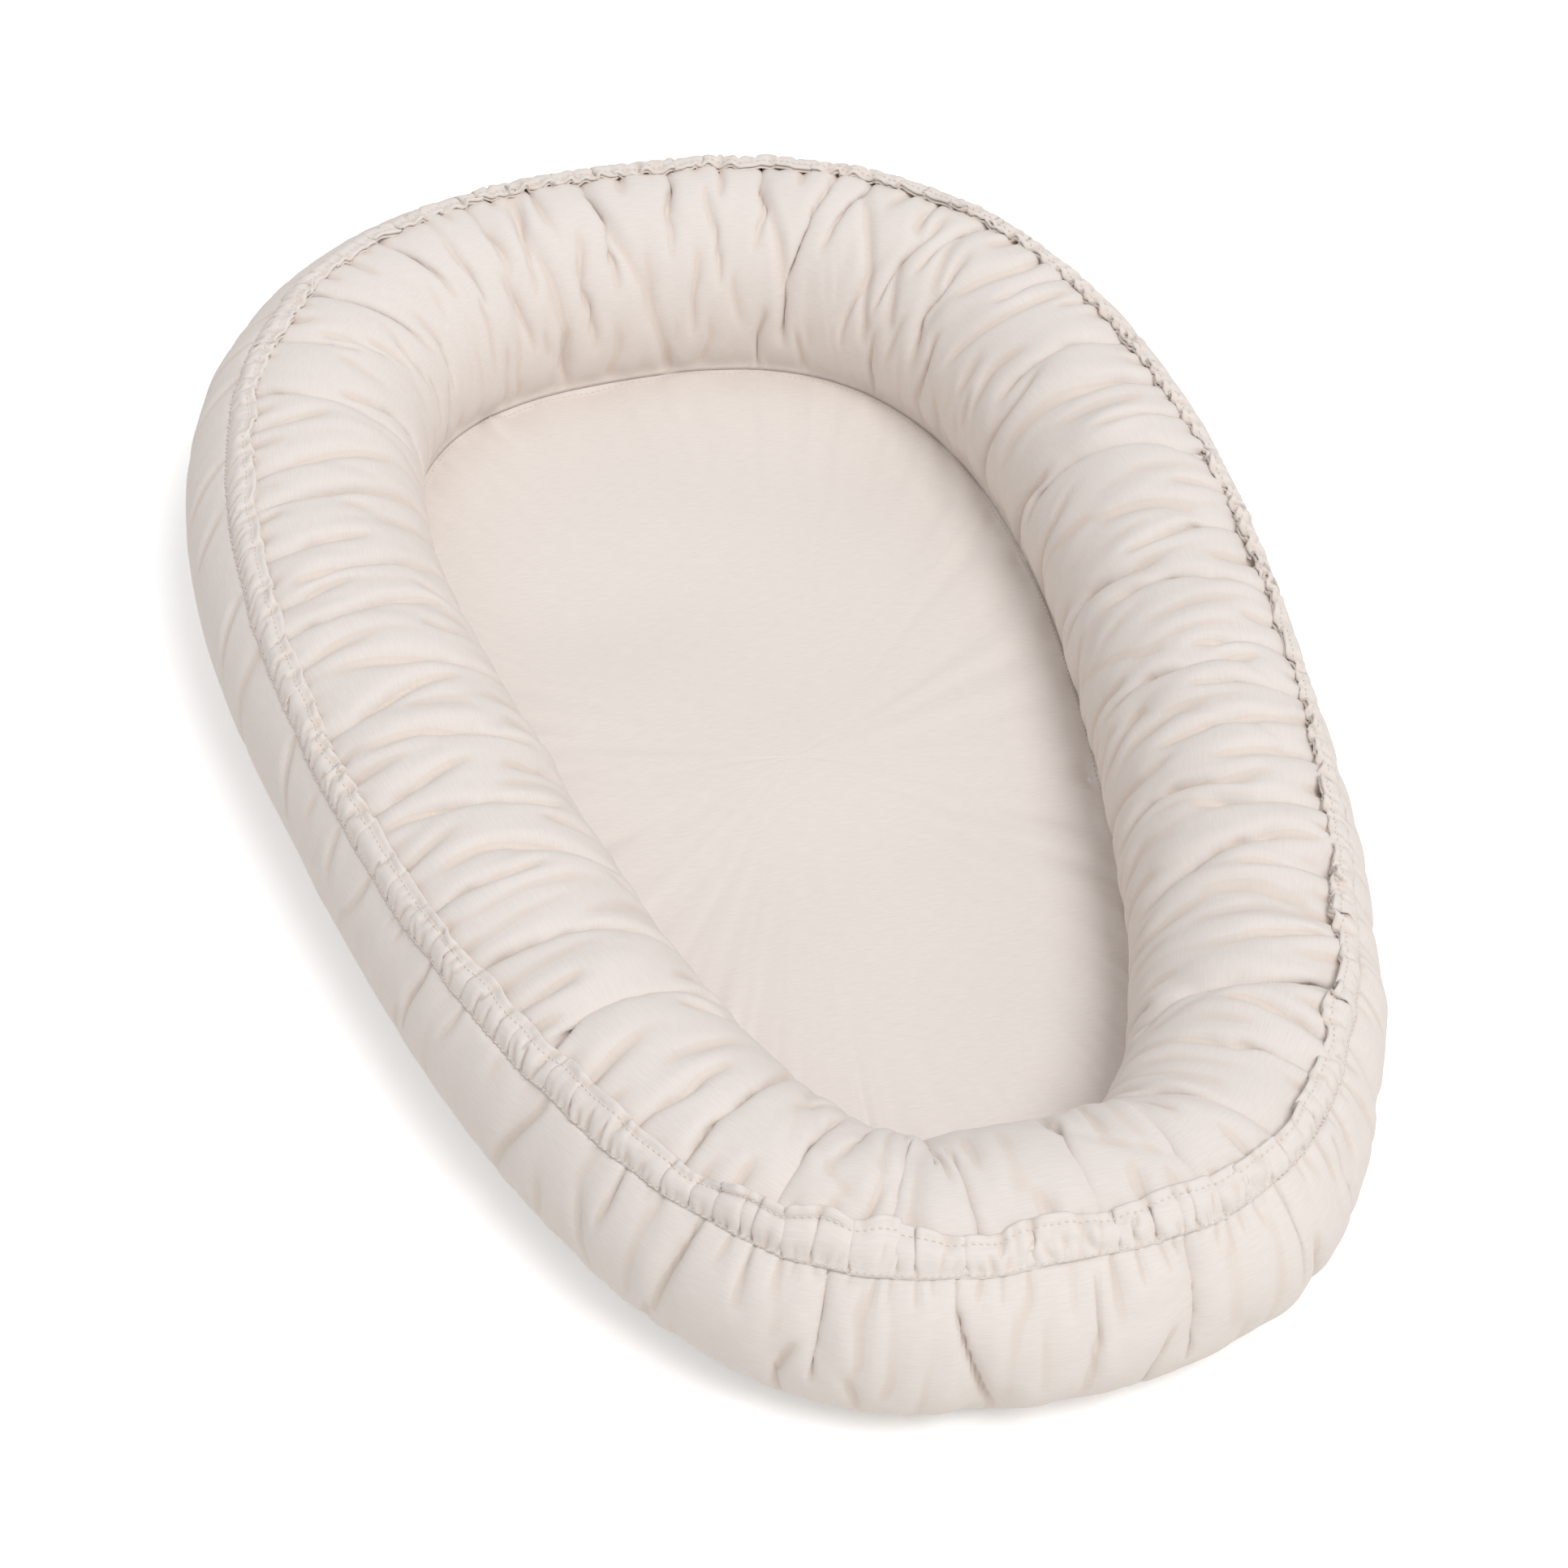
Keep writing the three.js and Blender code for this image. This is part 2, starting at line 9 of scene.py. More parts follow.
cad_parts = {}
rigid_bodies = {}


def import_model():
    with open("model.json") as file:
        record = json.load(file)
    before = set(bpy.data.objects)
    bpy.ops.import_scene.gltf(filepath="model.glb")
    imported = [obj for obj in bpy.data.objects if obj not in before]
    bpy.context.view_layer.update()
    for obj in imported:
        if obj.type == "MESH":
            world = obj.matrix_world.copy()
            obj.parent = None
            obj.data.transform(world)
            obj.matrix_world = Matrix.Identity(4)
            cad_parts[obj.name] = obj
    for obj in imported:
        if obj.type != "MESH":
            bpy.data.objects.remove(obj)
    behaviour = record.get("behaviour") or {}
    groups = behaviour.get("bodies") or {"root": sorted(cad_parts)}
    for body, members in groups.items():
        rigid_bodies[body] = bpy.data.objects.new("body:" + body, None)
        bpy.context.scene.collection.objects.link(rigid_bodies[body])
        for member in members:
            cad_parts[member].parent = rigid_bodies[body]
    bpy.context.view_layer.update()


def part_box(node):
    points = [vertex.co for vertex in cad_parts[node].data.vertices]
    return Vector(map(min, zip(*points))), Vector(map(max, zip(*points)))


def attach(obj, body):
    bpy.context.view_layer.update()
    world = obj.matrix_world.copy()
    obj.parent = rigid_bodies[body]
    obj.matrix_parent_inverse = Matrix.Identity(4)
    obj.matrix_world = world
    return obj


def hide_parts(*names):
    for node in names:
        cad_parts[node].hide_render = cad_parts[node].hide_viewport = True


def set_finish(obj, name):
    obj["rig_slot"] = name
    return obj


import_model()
print("frame loaded")

# The camera stands at the foot, a little to the left, and looks down into the nest.
photoCamera = {
    "bearing": -17.14,        # degrees round the nest from straight in front of the foot
    "rise": 41.17,            # degrees above the ground
    "roll": 1.79,
    "distance": 2.5,
    "target": (-0.0194, -0.0494, 0.060),
    "frameWidth": 1932,       # pixels
    "focalPixels": 6231.5,
    "sensorWidth": 36,
}


def addObject(name, data):
    thing = bpy.data.objects.new(name, data)
    bpy.context.scene.collection.objects.link(thing)
    return thing


def addCamera(values):
    bearing, rise, roll = (math.radians(values[key]) for key in ("bearing", "rise", "roll"))
    back = Vector((math.sin(bearing) * math.cos(rise), -math.cos(bearing) * math.cos(rise), math.sin(rise)))
    right = Vector((0, 0, 1)).cross(back).normalized()
    up = back.cross(right)
    turned = right * math.cos(roll) + up * math.sin(roll)
    upright = up * math.cos(roll) - right * math.sin(roll)
    camera = bpy.data.cameras.new("photoCamera")
    camera.sensor_width = values["sensorWidth"]
    camera.lens = values["sensorWidth"] * values["focalPixels"] / values["frameWidth"]
    holder = addObject("photoCamera", camera)
    holder.matrix_world = Matrix((turned, upright, back)).transposed().to_4x4()
    holder.location = Vector(values["target"]) + back * values["distance"]
    bpy.context.scene.camera = holder


addCamera(photoCamera)
print("camera set")

# The plan and section of the nest, as the frame has them.
nest = {
    "halfLength": 0.450,
    "halfWidth": 0.263,
    "headExponent": 2.31,
    "footExponent": 2.77,
    "headWidening": 0.21,
    "endWidening": 0.04,
    "rollWidth": 0.121,
    "rollHeight": 0.118,
    "leftWidening": 0.07,
    "footWidening": 0.03,
    "bellyExponent": 2.15,
    "floorSeam": 215,         # degrees on the section, from the outer side over the top
    "baseSeam": -76,
    "rootMean": 46,           # where the tunnel is sewn on, on the same section
    "rootHeadRise": 10,
    "rootSideDrop": 10.5,
    # the seam wanders a little: waves round the nest, degrees, and where its wave starts
    "rootWander": [(23, 0.30, 0.4), (41, 0.30, 2.1), (67, 0.22, 4.4)],
    "outlinePoints": 14400,
    "normalSpan": 0.011,      # share of the way round over which a station's direction is taken
}
millimetres = 1000            # in a metre
clothThickness = 0.0012
tiny = 1e-12                  # keeps a division from zero
barelyFree = 1e-9


def signedPower(value, power):
    return np.sign(value) * np.abs(value) ** power


def unit(vectors):
    return vectors / np.linalg.norm(vectors, axis=-1, keepdims=True)


def walkAlong(line):
    # how far along the line each of its points lies
    return np.concatenate([[0], np.cumsum(np.linalg.norm(np.diff(line, axis=0), axis=1))])


def makeOutline(values):
    turn = np.linspace(-np.pi / 2, 1.5 * np.pi, values["outlinePoints"] + 1)
    exponent = np.where(np.sin(turn) >= 0, values["headExponent"], values["footExponent"])
    across = signedPower(np.cos(turn), 2 / exponent)
    along = signedPower(np.sin(turn), 2 / exponent)
    widening = 1 + values["headWidening"] * along + values["endWidening"] * along ** 2
    line = np.stack([values["halfWidth"] * across * widening, values["halfLength"] * along], -1)
    return line, walkAlong(line)


outline, outlineWalk = makeOutline(nest)
outlineLength = outlineWalk[-1]


def placeAt(share):
    walk = np.mod(share, 1) * outlineLength
    return np.stack([np.interp(walk, outlineWalk, outline[:, axis]) for axis in (0, 1)], -1)


def stationsAt(share):
    # each station is one cross-section of the roll, by its share of the way round from the foot
    place = placeAt(share)
    ahead = unit(placeAt(share + nest["normalSpan"]) - placeAt(share - nest["normalSpan"]))
    bearing = np.arctan2(place[:, 1], place[:, 0])
    width = nest["rollWidth"] * (
        1 - nest["leftWidening"] * np.cos(bearing) - nest["footWidening"] * np.sin(bearing))
    root = (nest["rootMean"] + nest["rootHeadRise"] * np.sin(bearing)
            - nest["rootSideDrop"] * np.cos(2 * bearing))
    for waves, swing, start in nest["rootWander"]:
        root += swing * np.sin(math.tau * waves * share + start)
    return {"share": share, "place": place, "inward": np.stack([-ahead[:, 1], ahead[:, 0]], -1),
            "width": width, "root": root}


def gridAt(stations, inset, height):
    # a grid of points, rings by rows, from the distance inwards of the outline and the height
    flat = stations["place"][:, None] + stations["inward"][:, None] * inset[..., None]
    return np.concatenate([flat, np.broadcast_to(height, inset.shape)[..., None]], -1)


def sectionAt(stations, angle, shrink):
    turn = np.radians(angle)
    exponent = np.where(np.sin(turn) >= 0, 2, nest["bellyExponent"])
    halfWidth = stations["width"][:, None] / 2
    halfHeight = nest["rollHeight"] / 2
    outwards = signedPower(np.cos(turn), 2 / exponent) * (halfWidth - shrink)
    upwards = signedPower(np.sin(turn), 2 / exponent) * (halfHeight - shrink)
    return halfWidth - outwards, halfHeight + upwards


# Cloth is settled here by its own small solver, on a grid of rings by rows. Blender's Cloth has one
# rest length for both ways of the weave, and gathers need more cloth round the nest than there is way.
solver = {
    "passes": 4,
    "stiff": (1, 0.5, 0.25),  # against stretch, squeeze and shear
    "shearShare": 0.35,
    "glide": 0.9,             # how much of its speed the cloth keeps from step to step
    "fastest": 0.0008,        # metres in a step
    "usualGain": 0.15,        # the roughness is set for this much extra cloth
    "bunches": 60,
    "bunchLimits": (0.2, 2),
    "leanWaves": 14,
    "creaseFade": 15,         # degrees over which a crease runs out
    "pinchRound": 0.006,
    "pinchMiddle": 0.75,
    "patchWaves": 26,
    "patchMean": 0.8,
    "patchSwing": 0.5,
    "patchLimits": (0.2, 1.6),
}


def lengthsRound(grid):
    return np.linalg.norm(np.roll(grid, -1, 0) - grid, axis=-1)


def lengthsAcross(grid):
    return np.linalg.norm(grid[:, 1:] - grid[:, :-1], axis=-1)


def clothSize(grid):
    return float(lengthsAcross(grid).sum(1).mean()), float(lengthsRound(grid).sum(0).mean())


def normalsOf(grid):
    normal = np.cross(np.roll(grid, -1, 0) - np.roll(grid, 1, 0), np.gradient(grid, axis=1))
    return normal / (np.linalg.norm(normal, axis=-1, keepdims=True) + tiny)


def pullPairs(first, second, rest, firstFree, secondFree, stretch, squeeze):
    gap = second - first
    length = np.sqrt((gap * gap).sum(-1, keepdims=True)) + tiny
    over = length - rest
    share = np.where(over > 0, stretch, squeeze) * over / (
        length * np.maximum(firstFree + secondFree, barelyFree))
    return first + firstFree * share * gap, second - secondFree * share * gap


def holdWeave(grid, rest, free):
    # threads round the nest, threads across it, then the weave's resistance to shear
    stretch, squeeze, shear = solver["stiff"]
    grid[0::2], grid[1::2] = pullPairs(grid[0::2], grid[1::2], rest["round"][0::2], free[0::2], free[1::2],
                                       stretch, squeeze)
    near, far = pullPairs(grid[1::2], np.roll(grid[0::2], -1, 0), rest["round"][1::2], free[1::2],
                          np.roll(free[0::2], -1, 0), stretch, squeeze)
    grid[1::2], grid[0::2] = near, np.roll(far, 1, 0)
    for start in (0, 1):
        count = len(range(start, grid.shape[1] - 1, 2))
        low, high = (slice(begin, begin + 2 * count, 2) for begin in (start, start + 1))
        grid[:, low], grid[:, high] = pullPairs(grid[:, low], grid[:, high], rest["across"][:, low],
                                                free[:, low], free[:, high], stretch, squeeze)
    following, followingFree = np.roll(grid, -1, 0), np.roll(free, -1, 0)
    moved, movedNext = np.zeros_like(grid), np.zeros_like(grid)
    for here, there in ((slice(0, -1), slice(1, None)), (slice(1, None), slice(0, -1))):
        near, far = pullPairs(grid[:, here], following[:, there], rest["shear"], free[:, here],
                              followingFree[:, there], shear, shear / 2)
        moved[:, here] += near - grid[:, here]
        movedNext[:, there] += far - following[:, there]
    grid += solver["shearShare"] * (moved + np.roll(movedNext, 1, 0))


def easeBends(grid, free, bend):
    bow = np.roll(grid, -1, 0) + np.roll(grid, 1, 0) - 2 * grid
    change = np.roll(bow, -1, 0) + np.roll(bow, 1, 0) - 2 * bow
    bow = np.zeros_like(grid)
    bow[:, 1:-1] = grid[:, 2:] + grid[:, :-2] - 2 * grid[:, 1:-1]
    change[:, 1:-1] += bow[:, 2:] + bow[:, :-2] - 2 * bow[:, 1:-1]
    grid -= free * bend * change


def withoutSlowWaves(amount, waves):
    # the filling keeps its volume, so the cover can't all move one way
    spectrum = np.fft.rfft(amount, axis=0)
    spectrum[:waves] = 0
    return np.fft.irfft(spectrum, amount.shape[0], axis=0)


def roundTheNest(values, rings):
    # a value for every ring, from a list for foot, right side, head, left side and foot again
    return np.interp(np.arange(rings) / rings, np.linspace(0, 1, len(values)), values)[:, None]


def overTheRows(values, rows):
    return np.interp(np.linspace(0, 1, rows), np.linspace(0, 1, len(values)), values)[None]


def settle(grid, base, rest, free, values, steps, push, bend):
    side = normalsOf(base)
    deepest, highest = (roundTheNest(values[key], len(grid)) for key in ("deepest", "highest"))
    ahead = unit(np.roll(base, -1, 0) - np.roll(base, 1, 0))
    across = np.cross(ahead, side)
    free = free[..., None]
    before = grid.copy()
    for _ in range(steps):
        drift = (grid - before) * solver["glide"]
        speed = np.linalg.norm(drift, axis=-1, keepdims=True)
        drift *= np.minimum(1, solver["fastest"] / (speed + tiny))
        before = grid.copy()
        grid = grid + free * (drift + push * values["puff"] * normalsOf(grid))
        for _ in range(solver["passes"]):
            easeBends(grid, free, bend)
            holdWeave(grid, rest, free)
        offset = grid - base
        proud = withoutSlowWaves((offset * side).sum(-1), values["slowWaves"])
        slip = (offset * across).sum(-1) * values["cling"]
        creep = withoutSlowWaves((offset * ahead).sum(-1), values["slowWaves"])
        proud = np.clip(proud, -deepest, highest)
        slip = np.clip(slip, -values["slip"], values["slip"])
        creep = np.clip(creep, -values["creep"], values["creep"])
        grid = base + free * (proud[..., None] * side + slip[..., None] * across + creep[..., None] * ahead)
    return grid


def resampled(grid, rings, rows):
    at = np.arange(rings) / rings * grid.shape[0]
    ring = at.astype(int)
    part = (at - ring)[:, None, None]
    grid = grid[ring] * (1 - part) + grid[(ring + 1) % grid.shape[0]] * part
    at = np.linspace(0, grid.shape[1] - 1, rows)
    row = np.minimum(at.astype(int), grid.shape[1] - 2)
    part = (at - row)[None, :, None]
    return grid[:, row] * (1 - part) + grid[:, row + 1] * part


def softNoise(random, rings, rows, waves, bands, lean=0):
    # smooth random hills, closed round the ring; lean slants them by so many hills, either way by turns
    hills = random.normal(0, 1, (waves, bands + 1))
    at = np.arange(rings)[:, None] / rings * waves + np.zeros((1, rows))
    if lean:
        sway = softNoise(random, rings, 2, solver["leanWaves"], 1)[:, :1]
        at += lean * sway * np.linspace(0, 1, rows)[None]
    ring = np.floor(at).astype(int)
    part = at - ring
    part = part * part * (3 - 2 * part)
    across = np.linspace(0, bands, rows)
    row = np.minimum(across.astype(int), bands - 1)[None]
    inRow = across[None] - row
    inRow = inRow * inRow * (3 - 2 * inRow)
    near, far = ring % waves, (ring + 1) % waves
    return ((hills[near, row] * (1 - part) + hills[far, row] * part) * (1 - inRow)
            + (hills[near, row + 1] * (1 - part) + hills[far, row + 1] * part) * inRow)


def creaseDepth(stations, angle, inset, creases):
    depth = np.zeros(angle.shape)
    fadeOver = solver["creaseFade"]
    for fromShare, fromAngle, toShare, toAngle, deep, wide in creases:
        run = np.clip((angle - fromAngle) / (toAngle - fromAngle), 0, 1)
        apart = (stations["share"][:, None] - fromShare - (toShare - fromShare) * run + 0.5) % 1 - 0.5
        distance = apart * (outlineLength - 2 * math.pi * inset) * millimetres
        low, high = min(fromAngle, toAngle), max(fromAngle, toAngle)
        fade = (np.clip((angle - low + fadeOver) / fadeOver, 0, 1)
                * np.clip((high + fadeOver - angle) / fadeOver, 0, 1))
        depth += deep / millimetres * np.exp(-((distance / wide) ** 2)) * fade
    return depth


def rippleHeight(random, rings, rows, values):
    # low soft folds that the coarse steps can't hold: many, long across the cloth and slanted both ways
    height = np.zeros((rings, rows))
    for waves, bands, slant, amount in values["ripples"]:
        height += amount * softNoise(random, rings, rows, waves, bands, slant)
    # and round ridges between sharp valleys, where the cloth is pinched
    for waves, bands, slant, amount in values["pinches"]:
        ridge = np.sqrt(softNoise(random, rings, rows, waves, bands, slant) ** 2 + solver["pinchRound"])
        height += amount * (ridge - solver["pinchMiddle"])
    patches = softNoise(random, rings, rows, solver["patchWaves"], 2)
    patches = np.clip(solver["patchMean"] + solver["patchSwing"] * patches, *solver["patchLimits"])
    return (height * overTheRows(values["rippleFade"], rows)
            * roundTheNest(values["rippleZones"], rings) * patches)


def gatherCloth(baseAt, values):
    # from a coarse grid to a fine one, so that wide pillows come first and fine puckers last
    random = np.random.default_rng(values["seed"])
    offset = None
    for rings, rows, steps, push, bend, waves, height, share in values["levels"]:
        bunches = np.random.default_rng(values["seed"] + 1)
        stations = stationsAt(np.arange(rings) / rings)
        base, angle, inset = baseAt(stations, rows)
        side = normalsOf(base)
        gain = roundTheNest(values["gain"], rings)
        bunched = 1 + values["bunching"] * softNoise(bunches, rings, rows, solver["bunches"], 2)
        extra = 1 + ((gain - 1) * overTheRows(values["gainFade"], rows) * share
                     * np.clip(bunched, *solver["bunchLimits"]))
        rest = {"round": (lengthsRound(base) * extra)[..., None], "across": lengthsAcross(base)[..., None]}
        rest["shear"] = np.sqrt(((rest["round"][:, :-1] + rest["round"][:, 1:]) / 2) ** 2
                                + ((rest["across"] + np.roll(rest["across"], -1, 0)) / 2) ** 2)
        free = values["free"](rows)[None] * np.ones((rings, 1))
        rough = softNoise(random, rings, rows, waves, values["bands"], values["slant"])
        rough = rough * height * (gain - 1) / solver["usualGain"]
        if offset is None:
            rough -= creaseDepth(stations, angle, inset, values["creases"])
            grid = base + side * (rough * free)[..., None]
        else:
            grid = base + resampled(offset, rings, rows) + side * (rough * free)[..., None]
        grid = settle(grid, base, rest, free, values, steps, push, bend)
        offset = grid - base
    # the main creases keep a sharp line at the bottom
    lines = values["creaseLine"] * creaseDepth(stations, angle, inset, values["creases"])
    grid = grid + side * ((rippleHeight(random, rings, rows, values) - lines) * free)[..., None]
    print("  settled", grid.shape[:2], "moved", round(float(np.abs(offset).max()) * millimetres, 1), "mm")
    return stations, base, grid


# Small helpers for meshes and pieces.
foldReach = (1, 2, 3)         # rings to each side that a fold's depth is measured against


def dress(piece, body, node, slot):
    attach(piece, body)
    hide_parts(node)
    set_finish(piece, slot)


def meshObject(name, points, faces):
    mesh = bpy.data.meshes.new(name)
    mesh.from_pydata(np.asarray(points).reshape(-1, 3).tolist(), [], faces)
    mesh.validate()
    mesh.polygons.foreach_set("use_smooth", [True] * len(mesh.polygons))
    return addObject(name, mesh)


def sweptFaces(rings, sides, closed=True):
    # four-cornered faces between closed loops of points, one loop after the other
    ring, side = np.meshgrid(np.arange(rings if closed else rings - 1), np.arange(sides), indexing="ij")
    following, beside = (ring + 1) % rings, (side + 1) % sides
    return np.stack([ring * sides + side, ring * sides + beside, following * sides + beside,
                     following * sides + side], -1).reshape(-1, 4)


def addWeave(piece, places):
    # the cloth's own map in metres, which its threads follow
    piece.data.uv_layers.new(name="weave").data.foreach_set("uv", places.ravel())


def flatWeave(piece):
    points = np.zeros(len(piece.data.vertices) * 3)
    piece.data.vertices.foreach_get("co", points)
    corners = np.zeros(len(piece.data.loops), int)
    piece.data.loops.foreach_get("vertex_index", corners)
    addWeave(piece, points.reshape(-1, 3)[corners][:, :2])


def ringSolid(name, loops):
    # a closed solid swept round the nest through loops of points
    rings, size = loops.shape[:2]
    piece = meshObject(name, loops, sweptFaces(rings, size)[:, [0, 3, 2, 1]].tolist())
    across = np.append(0, np.cumsum(lengthsAcross(loops).mean(0)))
    across = np.append(across, 2 * across[-1] - across[-2])
    place = np.stack(np.meshgrid(np.arange(rings + 1) / rings * outlineLength, across, indexing="ij"), -1)
    addWeave(piece, np.stack([place[:-1, :-1], place[1:, :-1], place[1:, 1:], place[:-1, 1:]], 2))
    # how deep each point lies between its neighbours round the nest, in millimetres; the cloth's painted fold
    # shade is set from it
    middle = sum(np.roll(loops, shift, 0) for reach in foldReach for shift in (-reach, reach))
    depth = ((middle / (2 * len(foldReach)) - loops) * normalsOf(loops)).sum(-1) * millimetres
    piece.data.attributes.new("foldDepth", "FLOAT", "POINT").data.foreach_set("value", depth.ravel())
    return piece


def shellOf(name, grid, thickness):
    # the cloth's face, and its back one thickness in with half as many rows, joined along both edges
    rows = np.append(np.arange(0, grid.shape[1] - 1, 2), grid.shape[1] - 1)
    back = (grid - normalsOf(grid) * thickness)[:, rows]
    return ringSolid(name, np.concatenate([grid, back[:, ::-1]], 1))


# The crown panel: over the top of the roll, gathered hard along the tunnel and held at the floor seam.
# A level has rings, rows, steps, push, bend, waves and height of its first roughness, share of the gain.
crownPanel = {
    "levels": [(240, 16, 50, 0.00014, 0.004, 110, 0.0012, 0.35),
               (480, 32, 50, 0.00007, 0.004, 220, 0.0012, 0.7),
               (960, 64, 45, 0.00003, 0.003, 400, 0.0006, 1.0)],
    "gain": [1.32, 1.26, 1.24, 1.22, 1.2, 1.2, 1.18, 1.2, 1.32],
    "gainFade": [1.6, 1.1, 0.6, 0.35, 0.18],
    "bands": 3, "slant": 1.2, "bunching": 0.35, "puff": 1, "slowWaves": 12,
    "free": lambda rows: np.concatenate([[0], np.ones(rows - 2), [0]]),
    "deepest": [0.012, 0.010, 0.010, 0.010, 0.012], "highest": [0.0085, 0.006, 0.006, 0.006, 0.0085],
    "slip": 0.003, "cling": 0.9, "creep": 0.008, "seed": 11,
    # waves round the nest, bands across, slant in waves, height
    "ripples": [(80, 2, 1.2, 0.0010), (160, 3, 1.6, 0.0006), (300, 3, 2.0, 0.0003)],
    "pinches": [(64, 2, 1.6, 0.0014), (150, 3, 2.4, 0.0011)],
    "rippleFade": [0.6, 1, 1, 0.8, 0.5, 0.3, 0.2],
    "rippleZones": [1.4, 1.2, 1.2, 0.8, 0.25, 0.55, 0.9, 0.9, 1.4],
    "seamGap": 0.12,          # degrees from the tunnel's root
    "seamDip": 0.0016,        # behind the tunnel's two bands
    "dipAngle": 18,
    "seamFlare": 0.0030,
    "creaseLine": 0.32,
    "flareAngle": 9,
    # the deep creases: share and angle where each starts and ends, depth and half width in mm
    "creases": [
        (0.5342, 100, 0.5408, 176, 6, 5), (0.5267, 90, 0.5192, 191, 9, 4), (0.505, 80, 0.4858, 207, 9, 4),
        (0.4558, 70, 0.44, 179, 10, 4), (0.4225, 75, 0.3992, 165, 9, 4), (0.4042, 75, 0.3875, 159, 7, 4),
        (0.3833, 80, 0.3733, 169, 7, 4), (0.3633, 80, 0.3717, 157, 6, 4), (0.325, 69, 0.3258, 150, 6, 5),
        (0.3075, 55, 0.3125, 164, 5, 4), (0.2783, 49, 0.2983, 190, 5, 4), (0.2542, 51, 0.2767, 201, 5, 4),
        (0.2317, 51, 0.2583, 199, 5, 4), (0.2008, 55, 0.2325, 184, 5, 4), (0.1792, 57, 0.2133, 189, 5, 4),
        (0.1625, 54, 0.1658, 157, 4, 4), (0.1292, 57, 0.1442, 164, 4, 4), (0.1092, 59, 0.09, 139, 4, 4),
        (0.0767, 62, 0.0817, 151, 4, 4), (0.0567, 62, 0.0608, 142, 4, 4), (0.0358, 69, 0.005, 121, 4, 5),
        (0.9942, 76, 0.9958, 110, 5, 5), (0.9683, 72, 0.9392, 122, 4, 5), (0.9542, 70, 0.915, 130, 4, 5),
        (0.9342, 65, 0.91, 145, 4, 5), (0.6425, 74, 0.6525, 122, 3, 5), (0.6767, 59, 0.695, 124, 3, 5),
        (0.705, 55, 0.7125, 132, 3, 5), (0.7308, 60, 0.73, 150, 5, 5), (0.7633, 56, 0.765, 109, 3, 5),
        (0.8008, 56, 0.7925, 117, 3, 5), (0.875, 55, 0.8617, 121, 3, 5)],
}


def crownBase(stations, rows):
    root = stations["root"][:, None] + crownPanel["seamGap"]
    angle = root + (nest["floorSeam"] - root) * np.linspace(0, 1, rows)[None]
    dip = crownPanel["seamDip"] * (1 - np.clip((angle - root) / crownPanel["dipAngle"], 0, 1)) ** 2
    inset, height = sectionAt(stations, angle, dip)
    # the lowest few millimetres curve in to meet the floor
    curved = np.clip((angle - nest["floorSeam"]) / crownPanel["flareAngle"] + 1, 0, 1)
    return gridAt(stations, inset + crownPanel["seamFlare"] * curved ** 2, height), angle, inset


# The side panel: up the outer side of the roll from the base seam to the tunnel, folded most at the foot.
sidePanel = {
    **crownPanel,
    "levels": [(240, 12, 50, 0.0002, 0.004, 80, 0.0008, 0.35),
               (480, 24, 50, 0.00012, 0.003, 180, 0.0006, 0.8),
               (960, 40, 40, 0.00006, 0.002, 400, 0.0003, 1.0)],
    "gain": [1.16, 1.1, 1.05, 1.03, 1.03, 1.02, 1.01, 1.04, 1.14],
    "gainFade": [0.05, 0.25, 0.75, 1.5],
    "seed": 5, "creaseLine": 0.26, "deepest": [0.009], "highest": [0.005],
    "lowest": 0.0008,
    "sewnAngle": 0.9,         # past the tunnel's root, where it is sewn in
    "sewnIn": 0.0006,
    "sewnTurn": 4,            # degrees over which it goes in
    "ripples": [(50, 2, 0.5, 0.0010), (120, 2, 0.8, 0.0005), (260, 3, 1.0, 0.0002)],
    "pinches": [(60, 2, 0.8, 0.0016), (140, 3, 1.2, 0.0009)],
    "rippleFade": [0.1, 0.3, 0.8, 1, 0.8],
    "rippleZones": [1.8, 1.2, 0.6, 0.5, 0.5, 0.4, 0.2, 0.35, 1.8],
    "creases": [
        (0.7267, 40, 0.73, -30, 6, 6), (0.9183, 40, 0.9183, -40, 6, 7), (0.9408, 40, 0.9408, 0, 5, 6),
        (0.9817, 44, 0.9817, -40, 8, 8), (0.0217, 44, 0.0217, -30, 5, 6), (0.0342, 44, 0.0342, -10, 6, 7),
        (0.0567, 44, 0.0567, -20, 5, 6), (0.0975, 44, 0.0975, 0, 4, 6), (0.9000, 40, 0.8950, 0, 4, 6),
        (0.8700, 40, 0.8680, 0, 4, 6), (0.8400, 40, 0.8380, 10, 3, 6), (0.0000, 44, 0.0010, 0, 4, 5),
        (0.9580, 42, 0.9600, 5, 4, 4), (0.9650, 42, 0.9640, -10, 4, 4), (0.9740, 42, 0.9735, 10, 3, 4),
        (0.9890, 42, 0.9870, -30, 7, 5), (0.9935, 42, 0.9940, -10, 5, 4), (0.0080, 42, 0.0085, 0, 4, 5),
        (0.0450, 42, 0.0430, -20, 5, 5), (0.0760, 42, 0.0750, 0, 4, 5), (0.9100, 42, 0.9080, -10, 5, 5)],
}


def sideBase(stations, rows):
    root = stations["root"][:, None] + sidePanel["sewnAngle"]
    angle = nest["baseSeam"] + (root - nest["baseSeam"]) * np.linspace(0, 1, rows)[None]
    sewn = sidePanel["sewnIn"] * np.clip((angle - root) / sidePanel["sewnTurn"] + 1, 0, 1) ** 2
    inset, height = sectionAt(stations, angle, sewn)
    return gridAt(stations, inset, np.maximum(height, sidePanel["lowest"])), angle, inset


crownGrid = gatherCloth(crownBase, crownPanel)[2]
sideGrid = gatherCloth(sideBase, sidePanel)[2]
sideGrid[..., 2] = np.maximum(sideGrid[..., 2], sidePanel["lowest"])
print("covers gathered")

